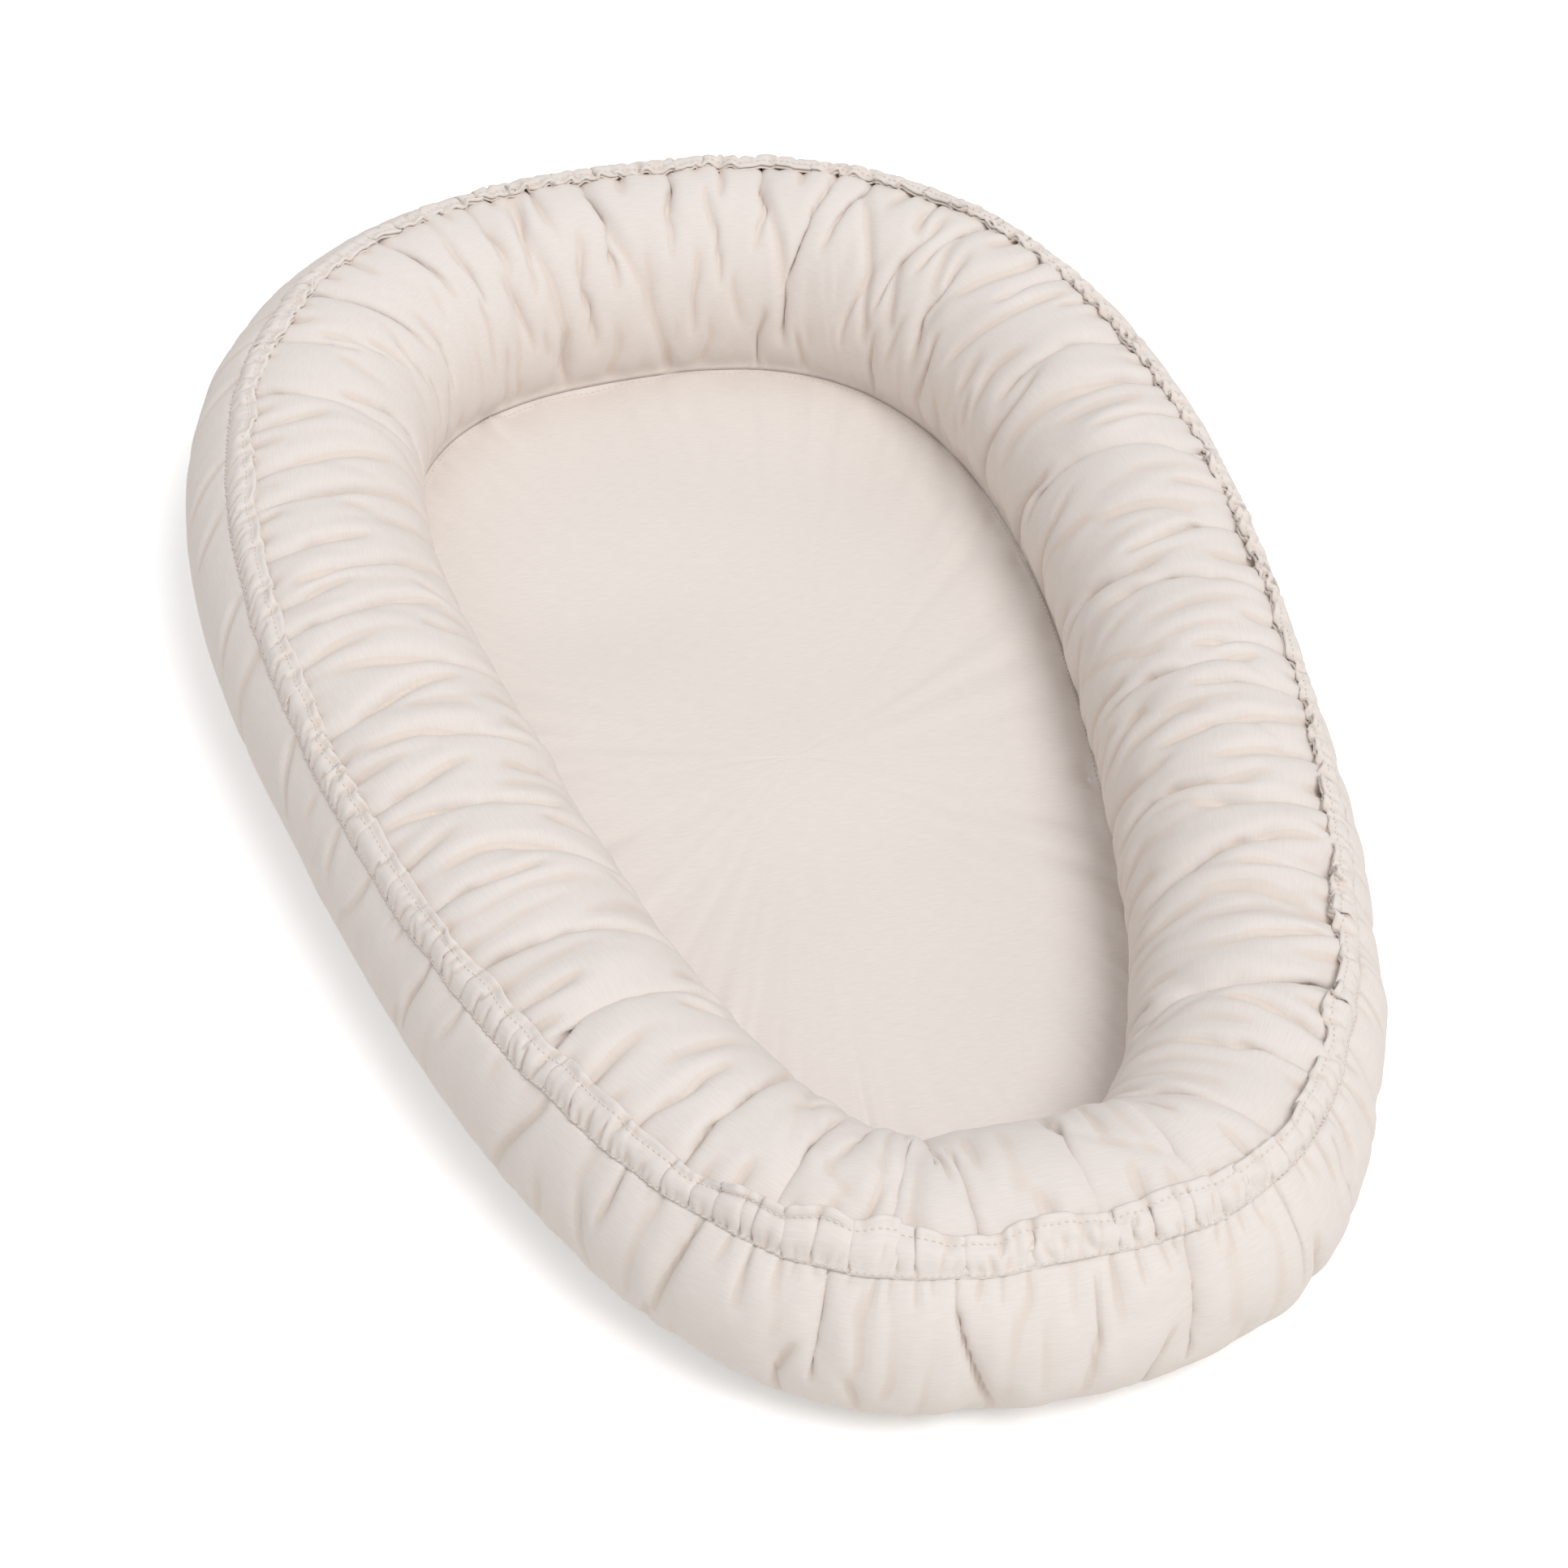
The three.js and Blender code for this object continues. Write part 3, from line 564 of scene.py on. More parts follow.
# The tunnel stands up along the roll from its root seam: an outer band with a ruffled free edge, and an
# inner band behind it. Both are gathered on the cord.
tunnelBands = {
    "height": 0.0185,
    "lean": 3,                # degrees away from the roll
    "bow": 0.0034,            # how far the cord pushes the outer band out
    "bowShape": 1.5,
    "stitchPull": 0.0008,     # the edge's stitches draw it in, at this share of its height
    "stitchLine": 0.80,
    "stitchReach": 0.07,
    "levels": [(480, 8, 80, 0.0002, 0.005, 150, 0.0016, 0.9),
               (960, 10, 30, 0.00006, 0.004, 330, 0.0004, 1.0),
               (1920, 14, 35, 0.00003, 0.0025, 640, 0.00015, 1.05)],
    "gain": [1.45, 1.36, 1.28, 1.28, 1.3, 1.24, 1.14, 1.27, 1.45],
    "gainFade": [0.45, 0.7, 0.9, 1.0, 1.1],
    "bands": 1, "slant": 0.6, "bunching": 1.0, "puff": 0.5, "slowWaves": 30,
    "free": lambda rows: np.concatenate([[0], np.ones(rows - 1)]),
    "deepest": [0.0030, 0.0012, 0.0012, 0.0012, 0.0030], "highest": [0.0056, 0.0023, 0.0025, 0.0022, 0.0056],
    "ripples": [(700, 2, 0.5, 0.00012)], "pinches": [(230, 1, 0.8, 0.0009), (430, 1, 0.8, 0.0006)],
    "rippleFade": [0.7, 1], "rippleZones": [1.9, 0.9, 0.8, 0.8, 0.9, 0.7, 0.45, 0.9, 1.9],
    # the free edge wanders: waves round the nest and height, up and down, and out from the roll
    "edgeRise": (130, 0.0042),
    "edgeLean": (95, 0.0088),
    "edgeBack": 0.1,          # it can't lean far into the roll
    "edgeZones": [1.05, 0.45, 0.38, 0.38, 0.42, 0.34, 0.22, 0.45, 1.05],
    "slip": 0.0045, "cling": 0.95, "creep": 0.004, "seed": 21, "creaseLine": 0.35,
    # here a crease runs from the root, 0, to the edge, 100
    "creases": [
        (0.9820, 0, 0.9820, 100, 2.4, 3), (0.9785, 0, 0.9790, 100, 2.0, 2), (0.0170, 0, 0.0180, 100, 2.2, 3),
        (0.0350, 0, 0.0352, 100, 2.0, 3), (0.9550, 0, 0.9548, 100, 2.0, 3), (0.0620, 0, 0.0625, 100, 1.8, 3)],
}


def tunnelAt(stations, up, out):
    turn = np.radians(stations["root"])
    slope = unit(np.stack([-np.sin(turn) * stations["width"], np.cos(turn) * nest["rollHeight"]], -1))
    lean = math.radians(tunnelBands["lean"])
    flange = np.stack([slope[:, 0] * math.cos(lean) + slope[:, 1] * math.sin(lean),
                       slope[:, 1] * math.cos(lean) - slope[:, 0] * math.sin(lean)], -1)
    face = np.stack([flange[:, 1], -flange[:, 0]], -1)
    rootInset, rootHeight = sectionAt(stations, stations["root"][:, None], 0)
    inset = rootInset - flange[:, :1] * up - face[:, :1] * out
    return gridAt(stations, inset, rootHeight + flange[:, 1:] * up + face[:, 1:] * out)


def tunnelBase(stations, rows):
    values = tunnelBands
    up = np.linspace(0, 1, rows)[None] * np.ones((len(stations["share"]), 1))
    drawnIn = values["stitchPull"] * np.exp(-(((up - values["stitchLine"]) / values["stitchReach"]) ** 2))
    out = values["bow"] * np.sin(np.pi * up) ** values["bowShape"] - drawnIn
    inset, _ = sectionAt(stations, stations["root"][:, None], 0)
    return tunnelAt(stations, up * values["height"], out), up * 100, inset * np.ones(up.shape)


def curlEdge(face, smooth, values):
    random = np.random.default_rng(values["seed"] + 2)
    rings, rows = face.shape[:2]
    up = np.linspace(0, 1, rows)[None] * roundTheNest(values["edgeZones"], rings)
    rise = unit(smooth[:, -1:] - smooth[:, :1])
    lift, lean = (softNoise(random, rings, 2, waves, 1)[:, :1] * height
                  for waves, height in (values["edgeRise"], values["edgeLean"]))
    lean = np.maximum(lean, -values["edgeBack"] * lean)
    return face + (up * lift)[..., None] * rise + (up ** 2 * lean)[..., None] * normalsOf(smooth)


tunnelStations, tunnelSmooth, outerFace = gatherCloth(tunnelBase, tunnelBands)
outerFace = curlEdge(outerFace, tunnelSmooth, tunnelBands)
print("tunnel gathered")

# Each band's free edge is turned in, so it ends in a soft double lip.
bandLip = {"from": 0.78, "reach": 0.12, "crest": 0.35, "outerThickness": 0.0018,
           "innerCloth": 0.0011, "innerThickness": 0.0015}


def bandShell(name, front, thickness, lipThickness):
    up = np.linspace(0, 1, front.shape[1])[None, :, None]
    swell = thickness + (lipThickness - thickness) * np.clip((up - bandLip["from"]) / bandLip["reach"], 0, 1)
    back = front - normalsOf(front) * swell
    rise = unit(front[:, -1:] - front[:, -2:-1])
    crest = (front[:, -1:] + back[:, -1:]) / 2 + rise * lipThickness * bandLip["crest"]
    return ringSolid(name, np.concatenate([front, crest, back[:, ::-1]], 1))


crown = shellOf("crownPanel", crownGrid, clothThickness)
dress(crown, "nest", "crown_panel", "cover_cloth")
side = shellOf("sidePanel", sideGrid, clothThickness)
dress(side, "nest", "side_panel", "cover_cloth")
outerBand = bandShell("tunnelOuterBand", outerFace, clothThickness, bandLip["outerThickness"])

# The inner band is flatter below, and follows the outer one where they are stitched together.
innerLayer = {"lower": 0.0012, "sewnFrom": 0.55, "sewnReach": 0.25, "pressed": 0.6, "gap": 0.0002,
              "sewnGap": 0.0007}


def innerFaceOf(values):
    outwards = normalsOf(tunnelSmooth)
    move = outerFace - tunnelSmooth
    offset = (move * outwards).sum(-1, keepdims=True)
    up = np.linspace(0, 1, outerFace.shape[1])[None, :, None]
    flat = tunnelAt(tunnelStations, up[..., 0] * (tunnelBands["height"] - values["lower"]),
                    np.zeros(offset.shape[:2]))
    sewn = np.clip((up - values["sewnFrom"]) / values["sewnReach"], 0, 1)
    move = (move - offset * outwards * (1 - sewn)
            + np.minimum(offset, 0) * outwards * values["pressed"] * (1 - sewn))
    return flat + move - outwards * (clothThickness + values["gap"] + values["sewnGap"] * sewn)


innerBand = bandShell("tunnelInnerBand", innerFaceOf(innerLayer), bandLip["innerCloth"],
                      bandLip["innerThickness"])
dress(outerBand, "nest", "tunnel_outer_band", "cover_cloth")
dress(innerBand, "nest", "tunnel_inner_band", "cover_cloth")
print("tunnel bands made")

# The floor of the nest: stretched over the mattress, nearly smooth, with faint pulls from its seam.
floorPanel = {
    "rings": 720,
    "rows": 56,
    "crowding": 1.5,          # rows lie closer near the seam
    "toMiddle": 0.985,
    "rise": 0.0048,
    "bulge": 2.2,
    "hollows": 0.00044,       # soft unevenness of the filling below, from waves of these sizes
    "waves": 26,
    "waveSizes": (0.09, 0.30),
    "usualSize": 0.2,
    "hollowsFrom": 0.03,
    "pulls": 0.0014,
    "pullWaves": ((110, 1), (230, 0.4)),
    "pullReach": 0.045,
    "pullsFrom": 0.006,
    "puff": 0.0012,
    "puffReach": 0.012,
    "sewnIn": 0.0005,
    "seamDrop": 0.0003,
    "seed": 8,
}


def makeFloorGrid(values, insetMore, height):
    random = np.random.default_rng(values["seed"])
    rings, rows = values["rings"], values["rows"]
    stations = stationsAt(np.arange(rings) / rings)
    inset, seamHeight = sectionAt(stations, np.full((rings, 1), float(nest["floorSeam"])), 0)
    inset = inset + crownPanel["seamFlare"] - values["sewnIn"] + insetMore
    edge = gridAt(stations, inset, seamHeight)[:, 0]
    reach = 1 - np.linspace(0, 1, rows) ** values["crowding"] * values["toMiddle"]
    grid = edge[:, None] * np.append(reach[:, None] * [1, 1], np.ones((rows, 1)), 1)[None]
    walk = np.hypot(edge[:, 0], edge[:, 1])[:, None] * (1 - reach)[None]
    x, y = grid[..., 0], grid[..., 1]
    hollows = np.zeros(x.shape)
    for _ in range(values["waves"]):
        turn, size = random.uniform(0, 2 * np.pi), random.uniform(*values["waveSizes"])
        phase = random.uniform(0, 2 * np.pi)
        along = (x * np.cos(turn) + y * np.sin(turn)) * 2 * np.pi / size
        hollows += np.sin(along + phase) * size / values["usualSize"]
    hollows *= values["hollows"] * np.clip(walk / values["hollowsFrom"], 0, 1)
    pulls = sum(softNoise(random, rings, rows, waves, 3) * values["pulls"] * share
                for waves, share in values["pullWaves"])
    pulls *= np.exp(-walk / values["pullReach"]) * np.clip(walk / values["pullsFrom"], 0, 1)
    puff = values["puff"] * (1 - np.exp(-walk / values["puffReach"]))
    grid[..., 2] = height + edge[:, 2][:, None] + values["rise"] * (1 - reach[None] ** values["bulge"])
    grid[..., 2] += hollows + pulls + puff - values["seamDrop"]
    return grid


def discSolid(name, face, back, middles):
    # a face and a back, each brought to one point in the middle, and joined round the edge
    rings, rows = face.shape[:2]
    under = rings * rows
    grid = sweptFaces(rings, rows)[:, [0, 3, 2, 1]]
    grid = grid[grid[:, 0] % rows < rows - 1]
    faces = grid.tolist() + (under + grid[:, ::-1]).tolist()
    for ring in range(rings):
        following = (ring + 1) % rings
        inner, nextInner = ring * rows + rows - 1, following * rows + rows - 1
        faces.append((inner, nextInner, 2 * under))
        faces.append((under + nextInner, under + inner, 2 * under + 1))
        faces.append((under + ring * rows, under + following * rows, following * rows, ring * rows))
    return meshObject(name, np.concatenate([face.reshape(-1, 3), back.reshape(-1, 3), middles]), faces)


floorGrid = makeFloorGrid(floorPanel, 0, 0)
downwards = np.array([0, 0, -clothThickness])
floorMiddle = floorGrid[:, -1].mean(0)
floor = discSolid("floorPanel", floorGrid, floorGrid + downwards, [floorMiddle, floorMiddle + downwards])
flatWeave(floor)
dress(floor, "nest", "floor_panel", "cover_cloth")
print("floor made")

# Filling and mattress are inside the cover: smooth padded bodies.
filling = {"rings": 360, "rows": 24, "inside": 0.0148, "endGap": 0.002}


def makeFilling(values):
    rings, rows = values["rings"], values["rows"]
    endGap = values["endGap"] / outlineLength
    stations = stationsAt(np.linspace(endGap, 1 - endGap, rings))
    turn = np.linspace(0, 360, rows, endpoint=False)[None] * np.ones((rings, 1))
    grid = gridAt(stations, *sectionAt(stations, turn, values["inside"]))
    faces = sweptFaces(rings, rows, closed=False)[:, ::-1].tolist()
    last = (rings - 1) * rows
    for row in range(rows):
        beside = (row + 1) % rows
        faces.append((row, beside, rings * rows))
        faces.append((rings * rows + 1, last + beside, last + row))
    middles = [grid[0].mean(0), grid[-1].mean(0)]
    return meshObject("rollFilling", np.concatenate([grid.reshape(-1, 3), middles]), faces)


rollFilling = makeFilling(filling)
dress(rollFilling, "nest", "roll_filling", "wadding")

# Under the mattress the base rises to the zip, so that zip and slider stay off the ground.
zipRecess = {"rise": 0.008, "halfWidth": 0.022, "halfLength": 0.241, "slope": 0.020}
mattressPad = {"rings": 360, "rows": 40, "pulls": 0, "clear": 0.0006, "below": 0.0016, "bottom": 0.0016,
               "hollow": 0.0124, "widerBy": 0.5}


def recessShare(x, y):
    wide = np.clip(1 - (np.abs(x) - zipRecess["halfWidth"]) / zipRecess["slope"], 0, 1)
    long = np.clip(1 - (np.abs(y) - zipRecess["halfLength"]) / zipRecess["slope"], 0, 1)
    soft = wide * long
    return soft * soft * (3 - 2 * soft)


def makeMattress(values):
    face = makeFloorGrid({**floorPanel, **values}, values["clear"], -values["below"])
    face[..., 2] -= clothThickness
    back = face.copy()
    share = recessShare(back[..., 0] * values["widerBy"], back[..., 1])
    back[..., 2] = values["bottom"] + values["hollow"] * share
    middle = face[:, -1].mean(0)
    bottom = np.array([middle[0], middle[1], values["bottom"] + values["hollow"]])
    return discSolid("mattressPad", face, back, [middle, bottom])


mattress = makeMattress(mattressPad)
dress(mattress, "nest", "mattress_pad", "wadding")
print("filling and mattress made")

# Stitches: one is modelled, and copies of it follow each seam, in and out of the cloth.
stitching = {"pitch": 0.0034, "length": 0.0027, "radius": 0.00036, "proud": 0.00042, "sunk": 0.0005,
             "sides": 6,
             "edgeRow": 0.80, "rootRow": 0.06,     # shares of the outer band's height
             "fromFloorSeam": 0.0036}


def modelStitch(values):
    # a soft bead of thread, thin at both ends, that arches over the cloth
    bpy.ops.object.select_all(action="DESELECT")
    bpy.ops.mesh.primitive_uv_sphere_add(segments=values["sides"], ring_count=values["sides"], radius=1,
                                         rotation=(0, math.pi / 2, 0))
    stitch = bpy.context.object
    bpy.ops.object.transform_apply(location=False, rotation=True, scale=False)
    stitch.scale = (values["length"] / 2, values["radius"], values["radius"])
    bpy.ops.object.transform_apply(location=False, rotation=False, scale=True)
    points = np.array([vertex.co[:] for vertex in stitch.data.vertices])
    # sorted, because Blender gives a sphere's faces in another order each time
    faces = sorted(tuple(face.vertices) for face in stitch.data.polygons)
    bpy.data.meshes.remove(stitch.data)
    share = points[:, 0] / values["length"] + 0.5
    points[:, 2] += (values["proud"] + values["sunk"]) * 4 * share * (1 - share) - values["sunk"]
    return points, faces, share


stitchPoints, stitchFaces, stitchShare = modelStitch(stitching)


def sewThread(name, seam, values, node):
    # the seam is a line of points on the cloth all the way round, and the cloth's normals along it
    line, normal = (np.concatenate([track, track[:1]]) for track in seam)
    walk = walkAlong(line)

    def along(track, at):
        return np.stack([np.interp(np.mod(at, walk[-1]), walk, track[:, axis]) for axis in range(3)], -1)

    count = int(walk[-1] / values["pitch"])
    starts = np.arange(count) / count * walk[-1]
    at = starts[:, None] + stitchShare[None] * values["length"]
    out = unit(along(normal, at))
    ahead = (along(line, starts + values["length"]) - along(line, starts))[:, None]
    beside = unit(np.cross(out, ahead))
    points = along(line, at) + beside * stitchPoints[None, :, 1:2] + out * stitchPoints[None, :, 2:3]
    each = len(stitchPoints)
    faces = [tuple(stitch * each + corner for corner in face)
             for stitch in range(count) for face in stitchFaces]
    dress(meshObject(name, points, faces), "nest", node, "sewing_thread")


def seamAt(grid, row):
    # the line of points at a fractional row of a grid, with the cloth's normals there
    low = int(row)
    part = row - low
    return [track[:, low] * (1 - part) + track[:, low + 1] * part for track in (grid, normalsOf(grid))]


topRow = outerFace.shape[1] - 1
floorWalk = np.concatenate([[0], np.cumsum(lengthsAcross(floorGrid).mean(0))])
floorRow = float(np.interp(stitching["fromFloorSeam"], floorWalk, np.arange(len(floorWalk))))
for name, face, row, node in (
        ("tunnelEdgeThread", outerFace, stitching["edgeRow"] * topRow, "tunnel_edge_thread"),
        ("tunnelRootThread", outerFace, stitching["rootRow"] * topRow, "tunnel_root_thread"),
        ("floorSeamThread", floorGrid, floorRow, "floor_seam_thread")):
    sewThread(name, seamAt(face, row), stitching, node)
print("threads sewn")

# The gathering cord lies in the tunnel, a closed round of three-strand cotton.
gatheringCord = {"diameter": 0.003, "rings": 1500, "sides": 15, "strands": 3, "lay": 0.011, "groove": 0.16,
                 "press": 0.0002}


def makeCord(values):
    shares = np.arange(values["rings"]) / values["rings"]
    turn = (np.arange(values["sides"]) / values["sides"] * 2 * np.pi)[None]
    twist = 2 * np.pi * np.round(outlineLength / values["lay"]) * shares[:, None]
    groove = values["groove"] * (0.5 + 0.5 * np.cos(values["strands"] * turn + twist))
    radius = values["diameter"] / 2 * (1 - groove)
    middle = -clothThickness + values["diameter"] / 2 - values["press"]
    grid = tunnelAt(stationsAt(shares), tunnelBands["height"] / 2 + np.cos(turn) * radius,
                    middle + np.sin(turn) * radius)
    return meshObject("gatheringCord", grid, sweptFaces(*grid.shape[:2]).tolist())


dress(makeCord(gatheringCord), "nest", "gathering_cord", "cotton_cord")
print("cord laid")

# The base under the nest: two panels that rise to the zip, and a strip that closes the slot at each end.
basePanels = {"slot": 0.007, "rows": 150, "columns": 22, "edgePoints": 720, "slotClear": 1.3, "crowding": 0.8,
              "puckers": 0.0010, "puckerWaves": 60, "puckerReach": 0.05, "puckersFrom": 0.01, "seed": 31}
seamStrips = {"halfWidth": 0.0067, "rows": 40, "columns": 7, "fold": 0.0005, "foldWidth": 0.0012}


def restHeight(x, y):
    return zipRecess["rise"] * recessShare(x, y)


def turnOut(piece):
    # a closed solid whose faces point inwards has a negative volume
    piece.data.update()
    corners = piece.data.vertices
    volume = sum(corners[face.vertices[0]].co.dot(face.normal) * face.area for face in piece.data.polygons)
    if volume < 0:
        piece.data.flip_normals()


def sheetGrid(x, y, height):
    return np.stack([np.broadcast_to(x, height.shape), np.broadcast_to(y[:, None], height.shape), height], -1)


def sheetSolid(name, grid, thickness):
    # an open sheet of rows by columns, closed into a solid one thickness below its face
    rows, columns = grid.shape[:2]
    size = 2 * columns
    back = grid - np.array([0, 0, thickness])
    faces = sweptFaces(rows, size, closed=False).tolist()
    last = (rows - 1) * size
    for column in range(columns - 1):
        below = size - 1 - column
        faces.append((column, below, below - 1, column + 1))
        faces.append((last + column, last + column + 1, last + below - 1, last + below))
    piece = meshObject(name, np.concatenate([grid, back[:, ::-1]], 1), faces)
    turnOut(piece)
    flatWeave(piece)
    return piece


def makeBasePanel(values, sign, name, node):
    random = np.random.default_rng(values["seed"] + sign)
    count = values["edgePoints"]
    stations = stationsAt(np.arange(count) / count)
    inset, _ = sectionAt(stations, np.full((count, 1), float(nest["baseSeam"])), 0)
    edge = gridAt(stations, inset + clothThickness, np.zeros(1))[:, 0, :2]
    edge = edge[edge[:, 0] * sign > values["slot"] * values["slotClear"]]
    edge = edge[np.argsort(edge[:, 1])]
    turn = np.linspace(0, np.pi, values["rows"])
    y = (edge[-1, 1] + edge[0, 1]) / 2 - (edge[-1, 1] - edge[0, 1]) / 2 * np.cos(turn)
    outer = np.interp(y, edge[:, 1], np.abs(edge[:, 0]))
    share = np.linspace(0, 1, values["columns"]) ** values["crowding"]
    x = values["slot"] + (outer[:, None] - values["slot"]) * share[None]
    inside = outer[:, None] - x
    hills = np.abs(softNoise(random, values["rows"], values["columns"], values["puckerWaves"], 3))
    fade = np.exp(-inside / values["puckerReach"]) * np.clip(inside / values["puckersFrom"], 0, 1)
    height = restHeight(x, y[:, None]) + clothThickness + hills * values["puckers"] * fade
    piece = sheetSolid(name, sheetGrid(x * sign, y, height), clothThickness)
    dress(piece, "nest", node, "base_cloth")


def makeSeamStrip(values, sign, name, node):
    start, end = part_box(node)
    near, far = sorted((abs(start[1]), abs(end[1])))
    y = np.linspace(near, far, values["rows"]) * sign
    x = np.linspace(-1, 1, values["columns"]) * values["halfWidth"]
    fold = values["fold"] * np.exp(-((x / values["foldWidth"]) ** 2))
    height = restHeight(x[None], y[:, None]) + clothThickness - fold[None] + values["fold"]
    piece = sheetSolid(name, sheetGrid(x[None], y, height), clothThickness)
    dress(piece, "nest", node, "base_cloth")


makeBasePanel(basePanels, 1, "basePanelRight", "base_panel_right")
makeBasePanel(basePanels, -1, "basePanelLeft", "base_panel_left")
makeSeamStrip(seamStrips, 1, "seamStripHead", "seam_strip_head")
makeSeamStrip(seamStrips, -1, "seamStripFoot", "seam_strip_foot")
print("base made")

# The zip: two woven tapes, each with its coil sewn along the inner edge, and a stop at each end.
zipParts = {
    "pitch": 0.0015,          # from one turn of the coil to the next
    "drawn": 0.998,           # a little closer, so that the last turn fits
    "shift": 0.25,            # the two coils mesh: each is moved by this share of the pitch
    "wire": 0.00032,
    "turnSteps": 9,
    "wireSides": 5,
    "tapeRib": 0.00012,
    "tapeRibs": 6,
    "tapeColumns": 25,
    "tapeRows": 90,
}


def makeTape(values, name, node):
    start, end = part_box(node)
    x = np.linspace(start[0], end[0], values["tapeColumns"])
    y = np.linspace(start[1], end[1], values["tapeRows"])
    across = (x - start[0]) / (end[0] - start[0])
    rib = values["tapeRib"] * (0.5 - 0.5 * np.cos(across * 2 * np.pi * values["tapeRibs"]))
    height = np.broadcast_to(end[2] - rib[None], (len(y), len(x)))
    piece = sheetSolid(name, sheetGrid(x[None], y, height), end[2] - start[2])
    dress(piece, "nest", node, "zip_tape")


def makeCoil(values, sign, name, node):
    # a wound filament: each turn is a flattened loop with a head that bulges towards the other coil
    start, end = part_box(node)
    middle, half = (start + end) / 2, (end - start) / 2
    wire, size = values["wire"], values["wireSides"]
    turns = int((end[1] - start[1] - 2 * wire) / values["pitch"])
    steps = turns * values["turnSteps"] + 1
    turned = np.arange(steps) / values["turnSteps"]
    shift = values["shift"] * values["pitch"] * sign
    y = start[1] + wire * 2 + abs(shift) + shift + turned * values["pitch"] * values["drawn"]
    line = np.stack([middle[0] - sign * (half[0] - wire) * np.cos(turned * 2 * np.pi),
                     np.clip(y, start[1] + wire, end[1] - wire),
                     middle[2] + (half[2] - wire) * np.sin(turned * 2 * np.pi)], -1)
    ahead = unit(np.gradient(line, axis=0))
    beside = unit(np.cross(ahead, np.array([0, 1, 0])))
    out = np.cross(beside, ahead)
    turn = (np.arange(size) / size * 2 * np.pi)[None, :, None]
    rings = line[:, None] + wire * (beside[:, None] * np.cos(turn) + out[:, None] * np.sin(turn))
    faces = sweptFaces(steps, size, closed=False).tolist()
    faces.append(tuple(reversed(range(size))))
    faces.append(tuple(range((steps - 1) * size, steps * size)))
    piece = meshObject(name, rings, faces)
    turnOut(piece)
    dress(piece, "nest", node, "nylon_coil")


makeTape(zipParts, "zipTapeRight", "zip_tape_right")
makeTape(zipParts, "zipTapeLeft", "zip_tape_left")
makeCoil(zipParts, 1, "zipCoilRight", "zip_coil_right")
makeCoil(zipParts, -1, "zipCoilLeft", "zip_coil_left")
print("zip tapes and coils made")

# Stops, slider and pull are cast and pressed metal, modelled block by block and rounded.
zipMetal = {
    "rounding": 0.00025, "segments": 2, "creaseAngle": 40,
    "stopRounding": 0.00035, "stopSegments": 3,
    "plate": 0.0012, "wall": 0.0013, "gap": 0.0003,
    "bailHeight": 0.0026, "bailHalfWidth": 0.0012, "bailHalfLength": 0.0038, "bailPost": 0.0010,
    "bailBar": 0.0008,
    "bladeHalfWidth": 0.00045, "bladeLength": 0.003,
    "pullRounding": 0.0016, "pullSegments": 5, "upright": 0.0005, "cutPast": 0.002,
    "eyeEdge": 0.001, "eye": (0.0040, 0.0048),
    "gripMiddle": 0.0075, "gripHole": (0.0026, 0.0095),
}


def addBlock(low, high, name):
    bpy.ops.object.select_all(action="DESELECT")
    bpy.ops.mesh.primitive_cube_add(size=1, location=[(a + b) / 2 for a, b in zip(low, high)])
    block = bpy.context.object
    block.name = name
    block.scale = [b - a for a, b in zip(low, high)]
    bpy.ops.object.transform_apply(location=True, rotation=False, scale=True)
    return block


def applyModifier(piece, kind, settings):
    modifier = piece.modifiers.new(kind.lower(), kind)
    for key, value in settings.items():
        setattr(modifier, key, value)
    bpy.ops.object.select_all(action="DESELECT")
    piece.select_set(True)
    bpy.context.view_layer.objects.active = piece
    bpy.ops.object.modifier_apply(modifier=modifier.name)


def mergeBlock(whole, block, operation):
    applyModifier(whole, "BOOLEAN", {"operation": operation, "solver": "EXACT", "object": block})
    bpy.data.objects.remove(block)


def roundEdges(piece, width, segments):
    applyModifier(piece, "BEVEL", {"width": width, "segments": segments, "limit_method": "ANGLE",
                                   "angle_limit": math.radians(zipMetal["creaseAngle"])})
    bpy.ops.object.shade_smooth()


def makeStop(values, name, node):
    stop = addBlock(*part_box(node), name)
    roundEdges(stop, values["stopRounding"], values["stopSegments"])
    dress(stop, "nest", node, "slider_enamel")


